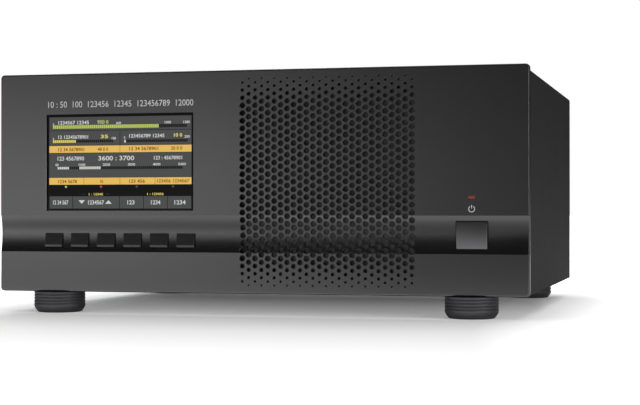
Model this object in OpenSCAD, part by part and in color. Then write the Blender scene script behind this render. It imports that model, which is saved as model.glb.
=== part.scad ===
// HF linear amplifier: a bench unit in a sheet-metal case behind a thick
// aluminium front panel. X runs to the right seen from the front, Y runs from
// the front to the back, Z up. The origin is on the surface that the feet
// stand on, under the middle of the object.

/* [Front panel] */
// Width of the front panel
panel_w = 422; // [410:1:460]
// Height of the front panel
panel_h = 172.3; // [171:0.1:190]
// Thickness of the front panel
panel_t = 6; // [5:0.5:8]
// Radius of the front panel's corners
panel_corner_r = 3; // [1:0.5:6]
// Height of the middle of the hand groove over the panel's lower edge
groove_z = 45.9; // [44:0.1:48]
// Height of the hand groove
groove_h = 28.7; // [26:0.1:30]
// Depth of the hand groove
groove_d = 2; // [1:0.1:3]

/* [Air intake] */
// Distance of the middle of the perforations from the panel's middle
grille_x = 56.8; // [50:0.1:60]
// Distance between neighbouring perforations
hole_pitch = 5.88; // [5.6:0.01:5.88]
// Diameter of the full-size perforations
hole_d = 4.5; // [3:0.1:5]
// Diameter of the smallest perforations
hole_d_min = 1.3; // [0.8:0.1:2]
// Height of the band over which the perforations shrink at each end
hole_fade = 20.6; // [10:0.1:30]
// Number of perforation columns
hole_columns = 27; // [21:2:27]
// Number of perforations in each of the shorter columns
hole_rows = 27; // [21:2:27]

/* [Display] */
// Distance of the display's middle from the panel's middle
display_x = -110.4; // [-114:0.1:-106]
// Height of the display's middle over the panel's lower edge
display_z = 102.15; // [100:0.05:106]
// Width of the display opening
display_w = 122.5; // [110:0.1:126]
// Height of the display opening
display_h = 76.1; // [68:0.1:78]
// Depth of the window's face behind the panel's face
window_recess = 1.5; // [0.8:0.1:2]
// Thickness of the window
window_t = 1.5; // [1:0.1:2]
// Width of the window's edge that lies behind the panel
window_lap = 3; // [2:0.1:4]

/* [Keys] */
// Distance between neighbouring keys
key_pitch = 22; // [19:0.1:23]
// Width of a key's opening
key_w = 15; // [12:0.1:16]
// Height of a key's opening
key_h = 11; // [9:0.1:12]
// Height of the keys' middle over the panel's lower edge
key_z = 40.5; // [40:0.1:41.5]
// How far the most proud edge of a key stands in front of the panel's face
key_proud = 0.9; // [0.3:0.1:1.4]
// Travel of a key
key_travel = 1; // [0.5:0.1:1.2]
// Width of the power button's opening
power_w = 23.9; // [20:0.1:26]
// Height of the power button's opening
power_h = 21.2; // [18:0.1:22]
// Distance of the power button from the panel's middle
power_x = 168.1; // [164:0.1:170]
// Height of the power button's middle over the panel's lower edge
power_z = 45.6; // [45:0.1:46.5]
// How far the power button's face stands in front of the panel's face
power_proud = 0.8; // [0.2:0.1:1.4]
// Travel of the power button
power_travel = 2.5; // [1.5:0.1:3]
// Width of the power lamp
lamp_w = 5; // [3:0.1:6]
// Height of the power lamp
lamp_h = 1.8; // [1.2:0.1:2.4]
// Height of the power lamp over the panel's lower edge
lamp_z = 73.8; // [70:0.1:76]

/* [Case] */
// Depth of the case behind the front panel
case_d = 347.7; // [340:0.1:380]
// Thickness of the sheet metal
sheet_t = 1.5; // [1:0.1:1.8]
// How far the cover's sides stand in from the panel's edges
cover_inset = 2; // [1:0.1:4]
// How far the cover's top stands below the panel's upper edge
cover_drop = 2.1; // [1:0.1:3]
// How far the tray's underside stands above the panel's lower edge
tray_lift = 0.4; // [0.3:0.1:1]
// How far the rear panel stands in from the case's rear edge
rear_recess = 3; // [1:0.1:6]
// Distance from the front panel's back to the inner front plate
plenum_d = 20; // [19:0.5:24]
// Size of the corner rails that carry the cover
rail_w = 10; // [8:0.5:12]

/* [Feet] */
// Distance from the panel's lower edge to the surface below
foot_gap = 16.5; // [12:0.1:25]
// Largest radius of a foot
foot_r = 20.25; // [16:0.05:22]
// Distance of the front feet from the case's middle
front_foot_x = 166; // [160:0.5:172]
// Distance of the front feet's middle from the panel's back
front_foot_back = 8; // [7.5:0.5:16]
// Distance of the rear feet from the case's middle
rear_foot_x = 175; // [165:0.5:178]
// Distance of the rear feet from the panel's face
rear_foot_y = 312; // [290:0.5:318]

/* [Cooling] */
// Width and height of a cooling fan
fan_size = 120; // [116:1:120]
// Depth of a cooling fan
fan_d = 25; // [20:0.5:26]
// Distance between a fan's fixing holes
fan_pitch = 105; // [98:0.5:105]
// Height of the fans' middle over the panel's lower edge
fan_z = 82; // [80:0.5:84]
// Number of fan blades
fan_blades = 7; // [5:1:9]
// Number of heat-sink fins
fin_count = 22; // [14:1:24]
// Thickness of a heat-sink fin
fin_t = 2; // [1.5:0.1:2.4]
// Thickness of the heat sink's base
sink_base = 10; // [8:0.5:11]
// Length of the heat sink
sink_l = 210; // [180:1:230]

/* [Rear sockets] */
// Height of the lower row of rear fittings
low_row_z = 40; // [38:0.5:44]
// Height of the upper row of rear fittings
high_row_z = 136; // [132:0.5:140]
// Height of the middle row of rear fittings
mid_row_z = 104; // [100:0.5:106]
// Distance of the mains inlet from the case's middle
inlet_x = -166; // [-170:0.5:-162]
// Distance of the mains switch from the case's middle
switch_x = -118; // [-120:0.5:-114]
// Distance of the first fuse holder from the case's middle
fuse_x = -84; // [-86:0.5:-82]
// Distance between the fuse holders
fuse_pitch = 25; // [22:0.5:27]
// Radius of a fuse holder's cap
fuse_cap_r = 6.5; // [5.5:0.1:7]
// Distance of the aerial socket from the case's middle
output_x = -44; // [-46:0.5:-40]
// Distance of the drive socket from the case's middle
input_x = -92; // [-96:0.5:-88]
// Radius of a coaxial socket's threaded barrel
coax_r = 7.94; // [7.6:0.01:8]
// Length of a coaxial socket's threaded barrel
coax_l = 13; // [11:0.5:15]
// Radius of the earth terminal's stud
stud_r = 3; // [2.5:0.1:4]
// Length of the earth terminal's stud outside the rear panel
stud_l = 24; // [22:0.5:28]

/* [Fits] */
// Clearance round a sliding or turning piece
slide_fit = 0.3; // [0.2:0.05:0.5]
// Clearance between neighbouring sheet-metal pieces
sheet_fit = 0.3; // [0.2:0.05:0.5]
// Clearance of a screw or shaft in its hole
bore_fit = 0.05; // [0.03:0.01:0.1]

/* [Hidden] */
$fn = 48;

// Levels along Y, measured from the panel's face.
front_foot_y = panel_t + front_foot_back;
y_inner = panel_t + plenum_d;
y_inner_back = y_inner + sheet_t;
y_back = panel_t + case_d;
y_rear = y_back - rear_recess;
y_rear_in = y_rear - sheet_t;

// Levels along Z, measured from the panel's lower edge.
z_tray = tray_lift + sheet_t;
z_cover = panel_h - cover_drop;
z_cover_in = z_cover - sheet_t;
z_plate_top = z_cover_in - sheet_fit;

// Half widths of the case.
case_half = panel_w / 2 - cover_inset;
case_in = case_half - sheet_t;
tray_half = case_in - sheet_fit;

// The front feet and the earth stud reach furthest to the front and the back.
reach_front = foot_r - front_foot_y;
reach_back = y_rear + stud_l;
middle_y = (reach_back - reach_front) / 2;

// Perforations: columns are closer than rows, as in a honeycomb.
column_pitch = hole_pitch * sqrt(3) / 2;
grille_z = panel_h / 2;
grille_half_w = (hole_columns - 1) / 2 * column_pitch;
grille_half_h = hole_rows / 2 * hole_pitch;

// The groove is an arc: its radius follows from its height and depth.
groove_r = (pow(groove_h / 2, 2) + pow(groove_d, 2)) / (2 * groove_d);

// Screws and other small standard sizes.
screw_r = 1.5;
screw_head_r = 2.9;
screw_head_h = 1.7;
nut_r = 3.2;
nut_h = 2.4;
board_t = 1.6;
cut = 1;

// ---------------------------------------------------------------- helpers

// A rectangle with true round corners, centred.
module round_rect(w, h, r) {
    square([w - 2 * r, h], center = true);
    square([w, h - 2 * r], center = true);
    for (x = [-1, 1], y = [-1, 1])
        translate([x * (w / 2 - r), y * (h / 2 - r)]) circle(r = r);
}

// Gives a front-view outline at x, z the depth from y0 to y1.
module slab(y0, y1, x = 0, z = 0) {
    translate([x, y1, z]) rotate([90, 0, 0]) linear_extrude(y1 - y0) children();
}

// A cylinder along Y from y0 to y1; a small number of sides makes a hexagon.
module pin_y(r, y0, y1, x = 0, z = 0, sides = $fn) {
    translate([x, y0, z]) rotate([-90, 0, 0]) cylinder(r = r, h = y1 - y0, $fn = sides);
}

// A box from one corner to the opposite one.
module block(a, b) {
    translate(a) cube(b - a);
}

// A round wire through a list of points, with slightly fuller ball corners.
module wire(points, r) {
    for (i = [0 : len(points) - 2]) {
        d = points[i + 1] - points[i];
        translate(points[i])
            rotate([0, acos(d[2] / norm(d)), atan2(d[1], d[0])])
                cylinder(r = r, h = norm(d));
        if (i > 0) translate(points[i]) sphere(r = 1.05 * r);
    }
}

// Puts a piece, drawn from the panel's lower edge, into the object's frame.
module placed() {
    translate([0, -middle_y, foot_gap]) children();
}

// ------------------------------------------------------------ front panel

key_count = 6;

// Middle of a front key, counted from the left.
function key_x(i) = display_x + (i - (key_count - 1) / 2) * key_pitch;

// Diameter of a perforation at this height off the pattern's middle.
function hole_size(dz) =
    min(hole_d, hole_d_min + (grille_half_h - abs(dz)) * (hole_d - hole_d_min) / hole_fade);

module perforations() {
    for (i = [0 : hole_columns - 1]) {
        rows = hole_rows + i % 2;
        for (j = [0 : rows - 1]) {
            dz = (j - (rows - 1) / 2) * hole_pitch;
            translate([(i - (hole_columns - 1) / 2) * column_pitch, dz])
                circle(d = hole_size(dz));
        }
    }
}

module front_panel() {
    color([0.2, 0.2, 0.21])
    difference() {
        slab(0, panel_t)
            difference() {
                translate([0, panel_h / 2]) round_rect(panel_w, panel_h, panel_corner_r);
                translate([grille_x, grille_z]) perforations();
                translate([display_x, display_z]) square([display_w, display_h], center = true);
                for (i = [0 : key_count - 1])
                    translate([key_x(i), key_z]) square([key_w, key_h], center = true);
                translate([power_x, power_z]) square([power_w, power_h], center = true);
                translate([power_x, lamp_z]) lamp_outline(bore_fit);
            }
        // Hand groove along the whole width.
        translate([-panel_w / 2 - cut, groove_d - groove_r, groove_z])
            rotate([0, 90, 0]) cylinder(r = groove_r, h = panel_w + 2 * cut, $fn = 96);
        // Rebate for the window.
        slab(window_recess, panel_t + cut, display_x, display_z) window_outline(sheet_fit);
    }
}

module lamp_outline(grow) {
    round_rect(lamp_w + 2 * grow, lamp_h + 2 * grow, lamp_h / 3);
}

module window_outline(grow) {
    square([display_w + 2 * window_lap + 2 * grow, display_h + 2 * window_lap + 2 * grow],
           center = true);
}

// -------------------------------------------------------- keys and button

// Flanges behind the panel keep the keys in.
flange_lap = 1.5;
flange_t = 1;
y_flange = panel_t + slide_fit;
y_flange_back = y_flange + flange_t;
bevel_h = 2;
key_slope = 2;

stem_r = 1.7;
stem_in_switch = 1;
switch_h = 4.2;
switch_w = 7;
y_key_board = panel_t + 9;
y_stem_end = y_key_board - switch_h + stem_in_switch;

// A key: a cap that slopes back towards its top, a flange and a stem.
module front_key(i) {
    w = key_w - 2 * slide_fit;
    h = key_h / 2 - slide_fit;
    color([0.11, 0.11, 0.115]) {
        translate([key_x(i) - w / 2, 0, key_z])
            rotate([90, 0, 90]) linear_extrude(w)
                polygon([[y_flange_back, -h], [0, -h], [-key_proud, -h + bevel_h * 0.6],
                         [-key_proud, -h + bevel_h], [key_slope - key_proud, h], [y_flange_back, h]]);
        slab(y_flange, y_flange_back, key_x(i), key_z)
            square([key_w + 2 * flange_lap, key_h + 2 * flange_lap], center = true);
        pin_y(stem_r, panel_t + flange_t, y_stem_end, key_x(i), key_z);
    }
}

plunger_r = 3;
plunger_in_switch = 2;
button_bulge = 1.3;
y_power_switch = y_inner_back - 9;
y_plunger_end = y_power_switch + plunger_in_switch;

// The power button: a barrel-shaped face on a thick plunger.
module power_button() {
    w = power_w - 2 * slide_fit;
    h = power_h - 2 * slide_fit;
    face_r = (pow(h / 2, 2) + pow(button_bulge, 2)) / (2 * button_bulge);
    color([0.36, 0.36, 0.37]) {
        intersection() {
            slab(-power_proud, y_flange_back, power_x, power_z) square([w, h], center = true);
            translate([power_x - w, face_r - power_proud, power_z])
                rotate([0, 90, 0]) cylinder(r = face_r, h = 2 * w, $fn = 96);
        }
        slab(y_flange, y_flange_back, power_x, power_z)
            square([power_w + 2 * flange_lap, power_h + 2 * flange_lap], center = true);
        pin_y(plunger_r, panel_t + flange_t, y_plunger_end, power_x, power_z);
    }
}

lamp_tail = 3;

// Light pipe of the power lamp, with a collar behind the panel.
module lamp_lens() {
    color([0.85, 0.1, 0.08]) {
        slab(0.1, panel_t + lamp_tail, power_x, lamp_z) lamp_outline(0);
        slab(panel_t, panel_t + flange_t, power_x, lamp_z)
            square([lamp_w + 2 * flange_lap, lamp_h + 2 * flange_lap], center = true);
    }
}

// Small board that carries the lamp and lets the power switch through.
module power_board() {
    board_h = lamp_z - power_z + 24;
    color([0.1, 0.35, 0.18])
    difference() {
        slab(y_inner - board_t, y_inner, power_x, (power_z + lamp_z) / 2)
            square([power_w + 3, board_h], center = true);
        slab(y_inner - board_t - cut, y_inner + cut, power_x, power_z)
            square([switch_body_w + 1, switch_body_w + 1], center = true);
    }
    color([0.9, 0.9, 0.88])
        slab(panel_t + lamp_tail + 0.2, y_inner - board_t, power_x, lamp_z)
            square([lamp_w, lamp_h + 1.6], center = true);
}

switch_body_w = 14;
switch_body_l = 27;

// Push switch through the inner front plate: its bore guides the button's plunger.
module power_switch() {
    color([0.13, 0.13, 0.14])
    difference() {
        union() {
            slab(y_power_switch, y_power_switch + switch_body_l, power_x, power_z)
                square(switch_body_w, center = true);
            slab(y_inner_back, y_inner_back + sheet_t, power_x, power_z)
                square(switch_body_w + 4, center = true);
        }
        pin_y(plunger_r + bore_fit, y_power_switch - cut, y_plunger_end + power_travel + 0.8,
              power_x, power_z);
    }
}

// ------------------------------------------------------ display and boards

y_display = window_recess + window_t;
y_display_board = y_display + 7;

module display_window() {
    color([0.05, 0.05, 0.06])
        slab(window_recess, y_display, display_x, display_z) window_outline(0);
}

connector_x = display_x + 34;
connector_z = display_z + 20;
ribbon_w = 16;
ribbon_t = 1.2;

// Display module: glass pack in a metal frame, with its board, chip, connector and spacers.
module display_module() {
    board_w = display_w + 8;
    board_h = display_h + 2;
    color([0.55, 0.56, 0.58])
        slab(y_display, y_display_board, display_x, display_z) window_outline(-0.5);
    color([0.1, 0.35, 0.18])
        slab(y_display_board, y_display_board + board_t, display_x, display_z)
            square([board_w, board_h], center = true);
    color([0.12, 0.12, 0.12])
        slab(y_display_board + board_t, y_display_board + board_t + 1.4, display_x - 20, display_z)
            square([16, 16], center = true);
    color([0.2, 0.2, 0.2])
        slab(y_display_board + board_t, y_ribbon, connector_x, connector_z)
            square([ribbon_w, 5], center = true);
    color([0.75, 0.75, 0.7])
        for (x = [-1, 1], z = [-1, 1])
            pin_y(2.5, y_display_board + board_t, y_inner,
                  display_x + x * (board_w / 2 - 5), display_z + z * (board_h / 2 - 5));
}

// Printed board behind the keys: switches with a bore for each stem, and feet
// that reach the inner front plate.
module key_board() {
    color([0.1, 0.35, 0.18])
        slab(y_key_board, y_key_board + board_t, display_x, key_z)
            square([(key_count - 1) * key_pitch + key_w + 4, key_h + 5], center = true);
    color([0.14, 0.14, 0.15])
        for (i = [0 : key_count - 1])
            difference() {
                slab(y_key_board - switch_h, y_key_board, key_x(i), key_z)
                    square(switch_w, center = true);
                pin_y(stem_r + bore_fit, y_key_board - switch_h - cut,
                      y_stem_end + key_travel + 0.8, key_x(i), key_z);
            }
    color([0.75, 0.75, 0.7])
        for (i = [0, 2, 3, 5])
            pin_y(2.5, y_key_board + board_t, y_inner, key_x(i), key_z);
}

// Posts between the front panel and the inner front plate.
post_r = 4;
post_x = [-case_in + 20, grille_x - grille_half_w - 11.5,
          grille_x + grille_half_w + 10, case_in - 20];
post_z = [14, panel_h - 14];

// Each post has a threaded end through the plate, with its nut.
module panel_posts() {
    color([0.7, 0.7, 0.72])
        for (x = post_x, z = post_z) {
            pin_y(post_r, panel_t, y_inner, x, z);
            pin_y(screw_r, y_inner - cut, y_inner_back + nut_h + 0.6, x, z);
            pin_y(nut_r, y_inner_back, y_inner_back + nut_h, x, z, 6);
        }
}

// ---------------------------------------------------------- intake filter

filter_t = 3;
mesh_t = 0.6;
filter_half_w = grille_half_w + 0.9;
filter_half_h = grille_half_h + 0.9;
filter_side = 3;
filter_end = 1;

module filter_frame() {
    color([0.05, 0.05, 0.05])
        slab(panel_t, panel_t + filter_t, grille_x, grille_z)
            difference() {
                square([2 * (filter_half_w + filter_side), 2 * (filter_half_h + filter_end)],
                       center = true);
                square([2 * filter_half_w, 2 * filter_half_h], center = true);
            }
}

// Dust mesh on the back of its frame.
module filter_mesh() {
    color([0.3, 0.3, 0.31])
        slab(panel_t + filter_t, panel_t + filter_t + mesh_t, grille_x, grille_z)
            square([2 * (filter_half_w + filter_side) - 2, 2 * (filter_half_h + filter_end) - 1],
                   center = true);
}

// ------------------------------------------------------------------- case

module inner_front() {
    color([0.62, 0.63, 0.65])
    difference() {
        slab(y_inner, y_inner_back, 0, (z_tray + z_plate_top) / 2)
            square([2 * (tray_half - sheet_t - sheet_fit), z_plate_top - z_tray], center = true);
        pin_y(fan_r, y_inner - cut, y_inner_back + cut, grille_x, fan_z);
        fan_holes(y_inner - cut, y_inner_back + cut);
        for (x = post_x, z = post_z)
            pin_y(screw_r + bore_fit, y_inner - cut, y_inner_back + cut, x, z);
        slab(y_inner - cut, y_inner_back + cut, power_x, power_z)
            square(switch_body_w + 2 * sheet_fit, center = true);
        slab(y_inner - cut, y_inner_back + cut, connector_x, connector_z)
            square([ribbon_w + 4, 8], center = true);
    }
}

module foot_places() {
    for (s = [-1, 1]) {
        translate([s * front_foot_x, front_foot_y]) children();
        translate([s * rear_foot_x, rear_foot_y]) children();
    }
}

foot_screw_r = 2.5;
side_flange_h = 18;

// Bottom tray with folded sides.
module chassis_tray() {
    color([0.62, 0.63, 0.65])
    difference() {
        union() {
            block([-tray_half, panel_t + sheet_fit, tray_lift], [tray_half, y_rear_in, z_tray]);
            for (s = [-1, 1])
                translate([s * (tray_half - sheet_t / 2), (y_inner + y_rear_in) / 2,
                           z_tray + side_flange_h / 2 - sheet_t / 2])
                    cube([sheet_t, y_rear_in - y_inner, side_flange_h + sheet_t], center = true);
        }
        foot_places()
            translate([0, 0, tray_lift - cut])
                cylinder(r = foot_screw_r + bore_fit, h = sheet_t + 2 * cut);
    }
}

// The cover's outer and inner outline; it runs on below, where it is cut off.
bend_r = 2.2;
cover_below = 10;

module cover_outline(grow) {
    h = z_cover - tray_lift + cover_below;
    translate([0, z_cover - h / 2])
        round_rect(2 * (case_half - grow), h - 2 * grow, max(bend_r - grow, 0.4));
}

cover_screw_y = [panel_t + 40, panel_t + case_d / 2, y_rear_in - 30];
rail_x = case_in - bend_r - rail_w / 2;

// Folded cover: top and both sides in one sheet, open below.
module top_cover() {
    color([0.17, 0.17, 0.175])
    difference() {
        slab(panel_t + sheet_fit, y_back)
            difference() {
                cover_outline(0);
                cover_outline(sheet_t);
                translate([0, tray_lift - cover_below])
                    square([2 * case_half + cut, 2 * cover_below], center = true);
            }
        for (s = [-1, 1], y = cover_screw_y)
            translate([s * rail_x, y, z_cover_in - cut])
                cylinder(r = screw_r + bore_fit, h = sheet_t + 2 * cut);
    }
}

cover_screw_l = 7;

// Rails under the cover's corners take its screws.
module side_rails() {
    color([0.7, 0.7, 0.72])
        for (s = [-1, 1])
            difference() {
                translate([s * rail_x, (y_inner_back + y_rear_in) / 2, z_cover_in - rail_w / 2])
                    cube([rail_w, y_rear_in - y_inner_back, rail_w], center = true);
                for (y = cover_screw_y)
                    translate([s * rail_x, y, z_cover - cover_screw_l - cut])
                        cylinder(r = screw_r + bore_fit, h = cover_screw_l + 2 * cut);
            }
}

module cover_screws() {
    color([0.1, 0.1, 0.1])
        for (s = [-1, 1], y = cover_screw_y)
            translate([s * rail_x, y, z_cover]) {
                difference() {
                    cylinder(r = screw_head_r, h = screw_head_h);
                    translate([0, 0, 0.6]) cylinder(r = 1.25, h = 2, $fn = 6);
                }
                translate([0, 0, -cover_screw_l]) cylinder(r = screw_r, h = cover_screw_l + 0.2);
            }
}

// ------------------------------------------------------------------- feet

foot_top = -0.3;
foot_taper = 2.5;
foot_boss_r = 7;
foot_bore_r = 6;
foot_bore_l = 6;
rib_depth = 0.55;
rib_count = 4;

// A round foot: ribbed wall above, tapering below, bored for its screw.
module foot(x, y) {
    h = foot_gap + foot_top;
    rib_step = 0.15 * h;
    rib_z = [for (k = [0 : rib_count - 1]) -foot_gap + 0.4 * h + k * rib_step];
    color([0.16, 0.16, 0.17])
    translate([x, y, 0])
    difference() {
        rotate_extrude()
            polygon(concat(
                [[0, -foot_gap], [foot_r - foot_taper - 1, -foot_gap],
                 [foot_r - foot_taper, -foot_gap + 0.8],
                 [foot_r - foot_taper / 2, -foot_gap + h * 0.2], [foot_r, -foot_gap + h * 0.33]],
                [for (z = rib_z) each [[foot_r, z], [foot_r - rib_depth, z + rib_step * 0.2],
                                       [foot_r - rib_depth, z + rib_step * 0.4],
                                       [foot_r, z + rib_step * 0.6]]],
                [[foot_r - 0.3, foot_top], [foot_boss_r, foot_top], [foot_boss_r, tray_lift],
                 [0, tray_lift]]));
        translate([0, 0, -foot_gap - cut])
            cylinder(r = foot_screw_r + bore_fit, h = foot_gap + 3 * cut);
        translate([0, 0, -foot_gap - cut]) cylinder(r = foot_bore_r, h = foot_bore_l + cut);
    }
}

foot_head_h = 3.5;
foot_nut_r = 4.6;
foot_nut_h = 3;

// A screw up through each foot, with its nut on the tray.
module foot_screws() {
    color([0.65, 0.65, 0.67])
        foot_places() {
            translate([0, 0, -foot_gap + foot_bore_l - foot_head_h])
                difference() {
                    cylinder(r = 4.8, h = foot_head_h);
                    translate([0, 0, -cut]) cylinder(r = 2, h = 2 + cut, $fn = 6);
                }
            translate([0, 0, -foot_gap + foot_bore_l - 1])
                cylinder(r = foot_screw_r, h = foot_gap - foot_bore_l + 1 + z_tray + foot_nut_h + 1);
            translate([0, 0, z_tray]) cylinder(r = foot_nut_r, h = foot_nut_h, $fn = 6);
        }
}

// ---------------------------------------------------------------- cooling

fan_r = fan_size / 2 - 1.5;
fan_hub_r = 21;
fan_shaft_r = 1.5;
fan_screw_r = 2;
fan_head_r = 3.6;
blade_t = 1.6;
blade_pitch = 38;

module fan_corners() {
    for (x = [-1, 1], z = [-1, 1])
        translate([grille_x + x * fan_pitch / 2, 0, fan_z + z * fan_pitch / 2]) children();
}

module fan_holes(y0, y1) {
    fan_corners() pin_y(fan_screw_r + bore_fit, y0, y1);
}

// Fan frame: square body with a round duct, struts and a bearing boss.
module fan_frame(y0) {
    strut_l = fan_r - fan_hub_r + 2;
    color([0.09, 0.09, 0.09])
    difference() {
        union() {
            difference() {
                slab(y0, y0 + fan_d, grille_x, fan_z) round_rect(fan_size, fan_size, 4);
                pin_y(fan_r, y0 - cut, y0 + fan_d + cut, grille_x, fan_z);
            }
            pin_y(fan_hub_r, y0 + fan_d - 4, y0 + fan_d, grille_x, fan_z);
            pin_y(5, y0 + fan_d - 16, y0 + fan_d - 3, grille_x, fan_z);
            for (a = [0 : 3])
                translate([grille_x, y0 + fan_d - 2, fan_z]) rotate([0, 45 + a * 90, 0])
                    translate([fan_hub_r - 1 + strut_l / 2, 0, 0])
                        cube([strut_l, 3.4, 5], center = true);
        }
        fan_holes(y0 - cut, y0 + fan_d + cut);
        pin_y(fan_shaft_r + bore_fit, y0, y0 + fan_d - 1, grille_x, fan_z);
    }
}

// Fan rotor: a cup on a shaft, with slanting blades.
module fan_rotor(y0) {
    blade_r = fan_r - 1.5;
    swept = fan_d - 9;
    color([0.1, 0.1, 0.105]) {
        difference() {
            pin_y(fan_hub_r, y0 + 1, y0 + fan_d - 5, grille_x, fan_z);
            pin_y(fan_hub_r - 2, y0 + 3, y0 + fan_d, grille_x, fan_z);
        }
        pin_y(fan_shaft_r, y0 + 2, y0 + fan_d - 1.5, grille_x, fan_z);
        intersection() {
            difference() {
                pin_y(blade_r, y0 + 2, y0 + 2 + swept, grille_x, fan_z);
                pin_y(fan_hub_r - 1, y0, y0 + fan_d, grille_x, fan_z);
            }
            for (b = [0 : fan_blades - 1])
                translate([grille_x, y0 + 2 + swept / 2, fan_z])
                    rotate([0, b * 360 / fan_blades, 0])
                        translate([blade_r / 2 + fan_hub_r / 2, 0, 0]) rotate([blade_pitch, 0, 0])
                            cube([blade_r - fan_hub_r + 4, blade_t, 2 * fan_d], center = true);
        }
    }
}

y_rear_fan = y_rear_in - fan_d;
guard_wire = 1.1;
guard_rings = [14, 28, 42, 55];
eyelet_r = 5.4;

// Wire guard outside the rear panel: rings on two crossed bars with eyelets.
module fan_guard() {
    bar_l = fan_pitch * sqrt(2) - 2 * eyelet_r + 1;
    color([0.75, 0.75, 0.77]) {
        for (r = guard_rings)
            translate([grille_x, y_rear + 2.4 * guard_wire, fan_z]) rotate([90, 0, 0])
                rotate_extrude() translate([r, 0]) circle(r = guard_wire);
        for (a = [45, 135])
            translate([grille_x, y_rear + guard_wire, fan_z]) rotate([0, a, 0])
                cube([bar_l, 2 * guard_wire, 2.4], center = true);
        fan_corners()
            difference() {
                pin_y(eyelet_r, y_rear, y_rear + 2 * guard_wire);
                pin_y(fan_screw_r + bore_fit, y_rear - cut, y_rear + 2 * guard_wire + cut);
            }
    }
}

// Screws of both fans.
module fan_screws() {
    y_head = y_rear + 2 * guard_wire;
    color([0.6, 0.6, 0.62])
        fan_corners() {
            pin_y(fan_head_r, y_inner - 2, y_inner);
            pin_y(fan_screw_r, y_inner - 1, y_inner_back + fan_d - 1);
            difference() {
                pin_y(fan_head_r, y_head, y_head + 2.2);
                pin_y(1.4, y_head + 1, y_head + 3, 0, 0, 6);
            }
            pin_y(fan_screw_r, y_rear_fan + 1, y_head + 0.5);
        }
}

// Transformers, board and spreader lie between the sink and the cover.
tube_r = 8.5;
tube_l = 28;
spreader_t = 4;
stack_gap = 4.1;
duct_half = fan_size / 2 + sheet_t;
y_duct = y_inner_back + fan_d;
y_sink = y_duct + 18;
y_sink_end = y_sink + sink_l;
z_sink_top = z_cover_in - stack_gap - 2 * tube_r - board_t - spreader_t;
z_sink = z_sink_top - sink_base;
z_fins = z_tray + sheet_t + 12;

// Channel that leads the air through the fins; the heat sink's base closes its top.
module air_duct() {
    color([0.7, 0.71, 0.73]) {
        block([grille_x - duct_half, y_duct, z_tray], [grille_x + duct_half, y_rear_fan, z_tray + sheet_t]);
        for (s = [-1, 1])
            translate([grille_x + s * (duct_half - sheet_t / 2), 0, 0]) {
                block([-sheet_t / 2, y_duct, z_tray], [sheet_t / 2, y_rear_fan, z_sink]);
                block([-sheet_t / 2, y_duct, z_tray], [sheet_t / 2, y_sink - sheet_fit, z_sink_top]);
                block([-sheet_t / 2, y_sink_end + sheet_fit, z_tray], [sheet_t / 2, y_rear_fan, z_sink_top]);
            }
        block([grille_x - duct_half, y_duct, z_sink_top - sheet_t],
              [grille_x + duct_half, y_sink - sheet_fit, z_sink_top]);
        block([grille_x - duct_half, y_sink_end + sheet_fit, z_sink_top - sheet_t],
              [grille_x + duct_half, y_rear_fan, z_sink_top]);
    }
}

// Finned heat sink with its fins hanging down into the channel.
module heat_sink() {
    fin_span = fan_size - 6;
    fin_step = (fin_span - fin_t) / (fin_count - 1);
    color([0.78, 0.79, 0.8]) {
        block([grille_x - duct_half, y_sink, z_sink], [grille_x + duct_half, y_sink_end, z_sink_top]);
        for (k = [0 : fin_count - 1])
            translate([grille_x - fin_span / 2 + k * fin_step, y_sink, z_fins])
                cube([fin_t, sink_l, z_sink - z_fins + 1]);
    }
}

z_spreader = z_sink_top + spreader_t;
z_amplifier = z_spreader + board_t;
y_amplifier = y_sink + sink_l / 2;
spreader = [104, 150];
amplifier = [110, 170];

// Copper plate that spreads the transistors' heat.
module heat_spreader() {
    color([0.78, 0.45, 0.28])
        translate([grille_x, y_amplifier, z_sink_top + spreader_t / 2])
            cube([spreader[0], spreader[1], spreader_t], center = true);
}

transistor = [34, 10];
transistor_places = [for (x = [-26, 26], y = [-22, 22]) [x, y]];

module amplifier_board() {
    color([0.12, 0.38, 0.2])
    difference() {
        translate([grille_x, y_amplifier, z_spreader + board_t / 2])
            cube([amplifier[0], amplifier[1], board_t], center = true);
        for (p = transistor_places)
            translate([grille_x + p[0], y_amplifier + p[1], z_spreader])
                cube([transistor[0] + 2 * sheet_fit, transistor[1] + 2 * sheet_fit, 3 * board_t],
                     center = true);
    }
}

// Power transistors, flange down on the copper, in cut-outs of the board.
module rf_transistors() {
    color([0.85, 0.8, 0.6])
        for (p = transistor_places)
            translate([grille_x + p[0], y_amplifier + p[1], z_spreader]) {
                translate([0, 0, 0.8]) cube([transistor[0], transistor[1], 1.6], center = true);
                translate([0, 0, 3]) cube([transistor[0] - 12, transistor[1] - 0.4, 4], center = true);
            }
}

tube_edge = 25;

// Ferrite transformers: a pair of tubes side by side at each end of the board.
module ferrite_transformers() {
    color([0.2, 0.2, 0.22])
        for (y = [-1, 1], s = [-1, 1])
            translate([grille_x + s * (tube_r + 0.5),
                       y_amplifier + y * (amplifier[1] / 2 - tube_edge), z_amplifier + tube_r])
                rotate([90, 0, 0])
                difference() {
                    union() {
                        cylinder(r = tube_r, h = tube_l, center = true);
                        translate([0, -tube_r / 2, 0]) cube([10, tube_r, tube_l], center = true);
                    }
                    cylinder(r = 4, h = tube_l + 2 * cut, center = true);
                }
}

// ----------------------------------------------------------- power supply

supply = [170, 216, 62];
supply_x = -192;
supply_y = y_inner_back + 20;
supply_wall = 1.2;
supply_lift = 5;
z_supply_board = z_tray + supply_wall + supply_lift + board_t;
slot_x = [for (k = [0 : 11]) supply_x + 14 + k * 13];
slot_w = 6;
slot_h = 34;

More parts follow.
